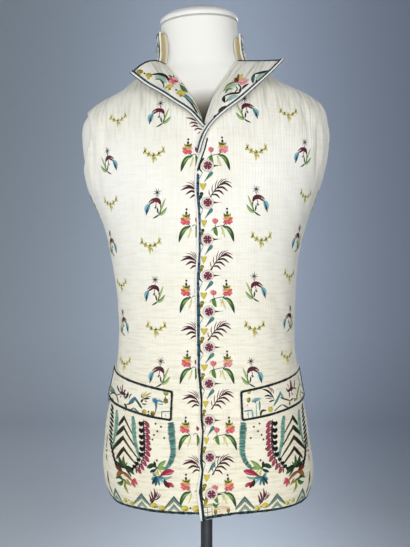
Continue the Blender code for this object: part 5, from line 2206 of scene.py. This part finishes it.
FLAP_FIGURES = {
    1: """
leaf 4.3 mauve plum wine 133 343 133.5 334.5 129.5 327
leaf 2.1 ink jet ink 146 342 145 336 141 330
leaf 2.1 ink wine 122 333 124 329 128.5 325
leaf 2.4 plum mauve 128 327 128 322.5 128 317.5
stem 1.4 ink 135 330 141.5 330.5 149 329
leaf 3.4 wine plum 125 328 131 329.5 137 332
leaf 2.3 plum wine 138.5 334 135.5 330 131.5 326
leaf 1.7 ink 144 350 145 347
leaf 2.3 grey 133 325 135.5 321
leaf 1.4 mauve 125 338.5 127.5 332.5
peak 4.9 teal jade aqua 105.5 322 109.5 326.5 115.5 319
blade 3 teal slate teal 97 309 102.5 316.5 109.5 326.5
stem 1.6 pine ink 109 320.5 117.5 317 128 314
stem 1.3 olive moss 98 302 104.5 306.5 111.5 310
leaf 2 moss lake 111.5 310 117.5 307 125 303
leaf 2.7 ink moss 127 307 127 310.5 128 314
leaf 2.1 moss 128 313.5 132.5 315 137 316
stem 2.1 olive moss olive 166 335.5 157.5 328 144 315
leaf 2.4 olive gold moss 136 316 142 314 150 315.5
leaf 2.7 moss 145.5 320 147 316.5
round 2.4 ink 138 314 140.5 312
leaf 1.7 pine teal 172.5 333 180.5 327.5 194 322
leaf 3.7 mist lime 166 325.5 160.5 319.5 162 313
leaf 1.4 pine 163.5 323 170.5 320 183.5 316.5
leaf 2.1 aqua slate 159.5 348 164 340 167 330.5
leaf 2.4 ink jet pine 79.5 334 86.5 332 92.5 327.5 98.5 318
leaf 2.1 ink jet 82.5 323.5 89 324.5 95.5 321
leaf 1.9 ink 89.5 315 94 316.5 99 317.5
leaf 1.6 mauve mauve 87.5 337.5 92.5 333.5 96 327.5
leaf 1.6 pink mauve 93 335.5 97 331 98 325.5
leaf 1.4 blush grey 84 320.5 89.5 320.5 95.5 319
leaf 4 teal teal aqua 63 317 69 319.5 77.5 321
round 2.3 ink 68.5 317 69.5 315.5
leaf 2.3 teal aqua lake 74.5 318.5 75 311 75 303.5
round 5.7 olive gold olive 57 332 59.5 331.5 62.5 331
round 4.6 olive gold moss 60 323.5 59 320 59 316
round 2 pink 56.5 313.5 58.5 311.5
round 6 olive gold gold 87.5 305 92 305 96 304
swell 2.9 olive moss moss 76.5 295 77 301.5 79 304 85 304
bar 1.4 teal 52 304.5 64.5 305.5
bar 2.1 aqua 64 305.5 65 294.5
bar 1.1 aqua 58 304 58.5 294
round 1.9 coral 57 300.5 58.5 299
bar 1.1 aqua 70 313.5 70.5 295.5
""",
    -1: """
leaf 3.1 wine wine 149.5 333.5 144.5 329 138 324
leaf 2.1 mauve plum 132.5 337.5 132 331 129.5 324.5
leaf 1.7 mauve plum 139 334 135 328.5 130.5 323
leaf 2.4 wine plum 124.5 330.5 126.5 327 127.5 323.5
leaf 4 wine plum wine 139 324.5 129.5 324 122 323
leaf 3.6 wine ink wine 118.5 327 119.5 322.5 122.5 317
leaf 1.7 plum wine 111 325.5 115 322 116 317
leaf 3.3 grey slate 127.5 322.5 124.5 319.5 121.5 316.5
stem 1.3 lake 147 318.5 141.5 321 135.5 322
leaf 1.6 wine 134.5 320.5 133.5 317
peak 4.6 blue lake slate 109.5 316 105.5 319 99 314
blade 3.7 slate teal blue 116.5 311 111 315.5 105.5 320.5
blade 2.7 lake pine 105.5 320 100 314 93 306
stem 1.4 moss 121 309.5 114.5 310.5 106 315
stem 1.4 olive moss 115.5 300.5 106.5 306
stem 1.7 moss lake 106.5 306 96.5 298.5
leaf 2.3 mist 112 299.5 106.5 302.5 102 299
leaf 3.1 ink jet pine 125.5 310 121 306.5 122 299.5
leaf 1.7 olive lime 130 306.5 126.5 303.5 125 299.5
leaf 6.6 lime mist slate 193.5 320 179 324.5 157 324
stem 1.9 olive moss 196.5 318 198.5 310 175.5 307
leaf 2.3 olive moss 174 317 174.5 312 167 308
stem 2.1 pine lake moss 174.5 317 159 321.5 146.5 319 137.5 308.5
leaf 2.6 olive gold olive 160 310 150 308 140.5 305
leaf 2.1 teal slate 174 328 157.5 324.5 146.5 319
leaf 2 ink olive 162.5 313 155.5 311.5 149 309
leaf 1.9 olive pine 192.5 328 168 327.5 167.5 323
leaf 2.6 ink 95.5 314 91 320
leaf 2.3 jet ink 91.5 319.5 86 320.5 80.5 321
leaf 1.6 moss olive gold 91 320 89 327 85.5 331
leaf 1.7 olive gold olive 89 322.5 84.5 326.5 78.5 329
leaf 1.4 olive gold 90 323 92 326.5 92.5 329.5
leaf 2.4 rust olive 91.5 320.5 94 322.5 94 326.5
leaf 1.3 olive 87.5 321.5 83 323.5 79 324
leaf 2 pine grass 93.5 313.5 90 312 85 313
leaf 1.6 mauve 89.5 317.5 84.5 315.5
leaf 5.6 sky blue blue 77.5 320.5 72.5 318 69 315.5
leaf 2.7 teal aqua teal 71 318.5 66 318.5 60.5 315.5
leaf 1.4 mist teal 69.5 314.5 65 313.5 60 314
taper 3.4 blue teal grey 72.5 316.5 71 311 72.5 300.5
leaf 2.3 ink 72 313 71.5 310.5
round 5.7 olive gold grass 61 329.5 57.5 329.5 53.5 328.5
round 6 olive moss olive 61 317.5 58 318.5 54 316.5
round 2.4 mauve 59 324 57 322.5
round 6 gold gold olive 89.5 305.5 89 301.5 89.5 297
round 5.6 gold olive moss 78 303.5 76 300 75.5 296
round 2.4 maroon ink 83 303.5 82.5 302 83.5 301
round 2.4 ink 83 299.5 82 297.5
bar 1.1 slate 63.5 303.5 51 304
bar 1.1 slate 63 303.5 62.5 293
round 1.7 plum 63.5 295 62 293.5
leaf 1.3 aqua 58 299.5 56.5 297
""",
}


def make_flaps():
    rows = 22
    for side, node in ((1, "pocket_flap_left"), (-1, "pocket_flap_right")):
        place = flap_by_turn(side)
        share = np.linspace(0, 1, rows + 1)[:, None]
        turns = np.broadcast_to(FLAP_TURNS, (rows + 1, len(FLAP_TURNS)))
        heights = FLAP_BOTTOMS * (1 - share) + FLAP_TOPS * share
        grid = np.stack([turns, heights], -1)
        flap = sheet(node + "_silk", grid, place, SILK, "ivory_silk", node, flipped=side < 0)
        work = Needlework(by_distance(place), side)
        worked(work, FLAP_FIGURES[side], lambda points: [(min(s, FLAP_END), h) for s, h in points], 1.25)
        stitched = work.piece(node + "_embroidery", THREAD, "ivory_silk")
        edging = Needlework(by_distance(place), side)
        bottom = np.stack([distance_at(FLAP_TURNS, FLAP_BOTTOMS), FLAP_BOTTOMS], 1)
        top = np.stack([distance_at(FLAP_TURNS, FLAP_TOPS), FLAP_TOPS], 1)
        left = line(top[0], bottom[0], 12)
        right = line(bottom[-1], top[-1], 12)
        ring = rounded(np.concatenate([left[:-1], bottom, right[1:-1], top[::-1]]), 0.0016, 0.004)
        trim(edging, ring, 3.5, BLACK_GREENS, rise=0.9)
        lines = edging.piece(node + "_edge_line", THREAD, "ivory_silk")


def rounded(ring, inwards, soft):
    """A closed outline moved inwards, with its corners softened."""
    places = resampled(ring, 0.001)
    places = places[:-1]
    ahead = unit(np.roll(places, -1, axis=0) - np.roll(places, 1, axis=0))
    places = places + np.stack([-ahead[:, 1], ahead[:, 0]], 1) * inwards
    reach = int(soft / 0.001)
    total = sum(np.roll(places, step, axis=0) for step in range(-reach, reach + 1))
    smooth = total / (2 * reach + 1)
    return np.concatenate([smooth, smooth[:1]])


# ---- the buttons ----


def drum(radius, low, high, sides):
    """An upright cylinder between two heights."""
    for item in list(bpy.context.selected_objects):
        item.select_set(False)
    place = (0, 0, (low + high) / 2)
    bpy.ops.mesh.primitive_cylinder_add(vertices=sides, radius=radius, depth=high - low, location=place)
    bpy.ops.object.transform_apply(location=True)
    return bpy.context.object


def open_top(piece):
    """Picks the top face, ready to be inset."""
    bpy.ops.object.mode_set(mode="EDIT")
    bpy.ops.mesh.select_all(action="DESELECT")
    shape = bmesh.from_edit_mesh(piece.data)
    for face in shape.faces:
        face.select_set(face.normal.z > 0.9)
    bmesh.update_edit_mesh(piece.data)


def soften(piece, width, segments, angle):
    edge = piece.modifiers.new("edge", "BEVEL")
    edge.width, edge.segments = width, segments
    edge.limit_method = "ANGLE"
    edge.angle_limit = math.radians(angle)
    bpy.ops.object.modifier_apply(modifier=edge.name)


def button_blank():
    """A thread-covered button, modelled once: a low drum with a rounded rim and a raised middle."""
    blank = drum(BUTTON_RADIUS, -0.0008, 0.0008, 40)
    open_top(blank)
    for thickness, depth in ((10, 10), (14, 3), (10, -4), (14, 7), (18, 4)):
        bpy.ops.mesh.inset(thickness=thickness / 10 * MM, depth=depth / 10 * MM)
    bpy.ops.object.mode_set(mode="OBJECT")
    soften(blank, 0.0004, 2, 50)
    bpy.ops.object.shade_smooth()
    return blank


def button_top(radius):
    """The blank's height over its seat, by the distance from its middle in metres."""
    return np.interp(
        radius,
        [0.0, 0.0020, 0.0038, 0.0052, 0.0062, 0.0076, 0.0086],
        [0.0036, 0.0036, 0.0032, 0.0025, 0.0029, 0.0026, 0.0010],
    )


def button_threads():
    """A ring of pale stitches over the rim, and a burgundy flower of eight petals in the middle."""

    def surface(spots, lift):
        radius = np.hypot(spots[:, 0], spots[:, 1])
        return np.stack([spots[:, 0], spots[:, 1], button_top(radius) + lift], -1)

    work = Needlework(surface)
    for number in range(34):
        angle = 2 * math.pi * number / 34
        cosine, sine = math.cos(angle), math.sin(angle)
        tone = ("white", "white", "cream")[number % 3]
        work.stroke([(5.6 * cosine, 5.6 * sine), (8.3 * cosine, 8.3 * sine)], 1.7, tone, "bar", 0.5, steps=4)
    for number in range(8):
        angle = 2 * math.pi * (number + 0.3) / 8
        cosine, sine = math.cos(angle), math.sin(angle)
        tip = (6.7 * cosine, 6.7 * sine)
        tones = ["maroon", "plum", "wine" if number < 2 else "rose"]
        work.stroke([(0.6 * cosine, 0.6 * sine), tip], 3.8, tones, "petal", 0.6, 1, shade="plum", steps=5)
        between_angle = angle + math.pi / 8
        tip = (6.4 * math.cos(between_angle), 6.4 * math.sin(between_angle))
        tone = "blush" if number % 2 else "mauve"
        work.stroke([(tip[0] * 0.35, tip[1] * 0.35), tip], 1.5, tone, "leaf", 0.5, 2, steps=4)
    work.dot(0, 0, 1.3, "mauve", layer=4)
    return work


def make_buttons():
    blank = button_blank()
    threads = button_threads()
    points = threads.surface(np.concatenate(threads.spots), np.concatenate(threads.lifts))
    patterns, colours = np.concatenate(threads.patterns), np.concatenate(threads.colours)
    body = np.array([vertex.co for vertex in blank.data.vertices])
    body_faces = [tuple(face.vertices) for face in blank.data.polygons]
    all_points = np.concatenate([body, points])
    all_faces = body_faces + [tuple(i + len(body) for i in face) for face in threads.outward_faces()]
    all_patterns = np.concatenate([body[:, :2], patterns])
    all_colours = np.concatenate([np.tile(THREADS["shell"], (len(body), 1)), colours])
    bpy.data.objects.remove(blank)
    lift = 2 * CLOTH + 3 * GAP
    for number in range(BUTTONS):
        height = np.array([TOP_BUTTON - BUTTON_PITCH * number])
        turn = turn_at(BUTTON_LINE + BUTTON_SET, height)
        seat = on_body(turn, height, lift)[0]
        out = unit(on_body(turn, height, lift + 0.01)[0] - seat)
        turned = Matrix.Rotation(0.9 * number, 4, "Z")
        aimed = Vector(out).to_track_quat("Z", "Y").to_matrix().to_4x4()
        place = Matrix.Translation(Vector(seat)) @ aimed @ turned
        name = f"button_{number + 1:02d}"
        mesh = mesh_from(name + "_covered", all_points, all_faces, all_patterns, all_colours)
        mesh.transform(place)
        new_piece(name + "_covered", mesh, THREAD, "button_thread", name)


# ---- the dress form and its stand ----


WADDING = table("""
turn height wide tall lift
-92 .692 14 .055 .0008
-88 .672 9 .022 .0008
92 .69 13 .06 .0014
92 .705 7 .014 .0046
94 .722 7 .013 .003
88 .687 8 .014 .0016
""")


def make_form():
    """The torso and neck, smooth and whole, with white wadding swelling a little at each armhole."""
    rows, columns = 150, 120
    heights = np.linspace(FORM_BOTTOM + FORM_EDGE, NECK_TOP, rows)
    inset_by = through(CLEARANCES, CLEARANCES[:, 0], heights)[:, 1]
    corner = FORM_EDGE * (1 - np.cos(np.linspace(0.02, math.pi / 2, 7)))[:-1]
    edge_heights = FORM_BOTTOM + corner
    below = FORM_BOTTOM + FORM_EDGE - edge_heights
    edge_inset = inset_by[0] + FORM_EDGE - np.sqrt(np.clip(FORM_EDGE**2 - below**2, 0, None))
    heights = np.concatenate([edge_heights, heights])
    inset_by = np.concatenate([edge_inset, inset_by])
    seam = np.exp(-(((heights - NECK_SEAM) / 0.0012) ** 2)) * 0.0006
    turns = np.linspace(-180, 180, columns, endpoint=False)
    turn, height = np.meshgrid(turns, heights)
    lift = np.repeat(-(inset_by + seam)[:, None], columns, axis=1)
    for middle, level, wide, tall, swell in WADDING:
        near = ((turn - middle) / wide) ** 2 + ((height - level) / tall) ** 2
        lift += swell * np.clip(1 - near, 0, 1) ** 0.8
    points = on_body(turn, height, lift)
    mesh_points = points.reshape(-1, 3)
    faces = [tuple(face) for face in grid_faces(len(heights), columns, closed=True)]
    faces.append(tuple(range(columns))[::-1])
    faces.append(tuple((len(heights) - 1) * columns + i for i in range(columns)))
    mesh = mesh_from("form_body", mesh_points, faces)
    form = new_piece("form_body", mesh, JERSEY, "form_jersey", "form_torso")


def turned_piece(name, radius, low, high, sides, width, segments, node):
    """A round piece of the stand: a drum with its edges rounded."""
    piece = drum(radius, low, high, sides)
    piece.name = name
    soften(piece, width, segments, 30)
    bpy.ops.object.shade_smooth_by_angle(angle=math.radians(40))
    settle(piece, STEEL, "dark_steel", node)


def make_cap():
    """The neck's cap: a flat-topped dome with a short upright lip."""
    cap = drum(CAP_RADIUS, 0.0, CAP_LIP, 96)
    cap.name = "neck_cap_moulded"
    open_top(cap)
    steps = 12
    angles = [math.pi / 2 * step / steps for step in range(steps + 1)]
    for start, end in zip(angles, angles[1:]):
        narrowed = CAP_RADIUS * (math.cos(start) - max(math.cos(end), 0.02))
        climb = (CAP_HEIGHT - CAP_LIP) * (math.sin(end) ** 1.5 - math.sin(start) ** 1.5)
        bpy.ops.mesh.inset(thickness=narrowed, depth=climb)
    bpy.ops.object.mode_set(mode="OBJECT")
    soften(cap, 0.0008, 2, 60)
    bpy.ops.object.shade_smooth_by_angle(angle=math.radians(40))
    seat = leaned(np.array([0, 0, NECK_TOP + GAP]))
    cap.data.transform(Matrix.Translation(Vector(seat)) @ Matrix.Rotation(-TILT, 4, "Y"))
    settle(cap, CAP_WHITE, "cap_white", "neck_cap")


def make_stand():
    bottom, top = BASE_THICKNESS + GAP, FORM_BOTTOM - GAP
    turned_piece("stand_base", BASE_RADIUS, 0.0, BASE_THICKNESS, 128, 0.0015, 3, "base_plate")
    turned_piece("stand_pole", POLE_RADIUS, bottom, top, 48, 0.0004, 1, "pole")
    for node in ("base_socket", "form_socket"):
        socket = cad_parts[node]
        socket.data.materials.clear()
        socket.data.materials.append(STEEL)


# ---- the studio ----


def place_in_studio(name, data, place, turn):
    item = bpy.data.objects.new(name, data)
    item.location = place
    item.rotation_euler = turn
    bpy.context.scene.collection.objects.link(item)
    return item


def hang_lamp(name, kind, power, place, aim, **settings):
    """A lamp that is turned to its aim and stays out of the picture."""
    light = bpy.data.lights.new(name, kind)
    light.energy = power
    for key, value in settings.items():
        setattr(light, key, value)
    turn = (Vector(aim) - Vector(place)).to_track_quat("-Z", "Y").to_euler()
    place_in_studio(name, light, place, turn).visible_camera = False


def make_studio():
    """A pale floor that sweeps up into a backdrop, soft lights, and the camera."""
    start, bend, wide, front, top, steps = 1.6, 1.6, 16.0, -16.0, 9.0, 24
    profile = [(front, 0.0), (start, 0.0)]
    for step in range(1, steps + 1):
        angle = math.pi / 2 * step / steps
        profile.append((start + bend * math.sin(angle), bend * (1 - math.cos(angle))))
    profile.append((start + bend, top))
    points = [(x, y, z) for y, z in profile for x in (-wide, wide)]
    mesh = bpy.data.meshes.new("studio_sweep")
    mesh.from_pydata(points, [], [(2 * i, 2 * i + 1, 2 * i + 3, 2 * i + 2) for i in range(len(profile) - 1)])
    mesh.shade_smooth()
    mesh.materials.append(studio_paper_painted_light())
    place_in_studio("studio_sweep", mesh, (0, 0, 0), (0, 0, 0))

    world = bpy.data.worlds.new("studio_air")
    world.use_nodes = True
    air = world.node_tree.nodes["Background"].inputs
    air["Color"].default_value = (0.80, 0.86, 0.95, 1)
    air["Strength"].default_value = 0.22
    bpy.context.scene.world = world
    for name, power, size, place, aim, colour in (
        ("key", 36, 1.6, (-0.45, -2.6, 0.75), (0, 0, 0.48), (1.0, 0.995, 0.975)),
        ("fill", 37, 1.8, (1.0, -2.5, 0.55), (0, 0, 0.45), (1.0, 0.99, 0.965)),
        ("side", 16, 1.2, (-2.2, 0.3, 0.9), (-0.05, 0.0, 0.45), (1.0, 1.0, 1.0)),
        ("floor", 2.2, 1.0, (0.05, 0.95, 1.5), (0.05, 0.951, 0.0), (0.97, 0.98, 1.0)),
    ):
        hang_lamp(name, "AREA", power, place, aim, size=size, color=colour)
    spread = {"spot_size": math.radians(26), "spot_blend": 0.6, "shadow_soft_size": 0.35}
    hang_lamp("back", "SPOT", 110, (1.1, 2.1, 1.25), (0, 0, 0.5), **spread)

    camera = bpy.data.cameras.new("camera")
    camera.sensor_fit = "VERTICAL"
    camera.sensor_height = 36
    camera.lens = 59.23
    item = place_in_studio("camera", camera, (-0.0025, -1.388, 0.50), (math.radians(90), 0, 0))
    bpy.context.scene.camera = item
    bpy.context.scene.view_settings.view_transform = "Standard"


make_studio()
make_fronts()
make_backs()
make_collar()
make_collar_facing(1)
make_collar_facing(-1)
make_lapels()
make_flaps()
make_buttons()
make_form()
make_cap()
make_stand()
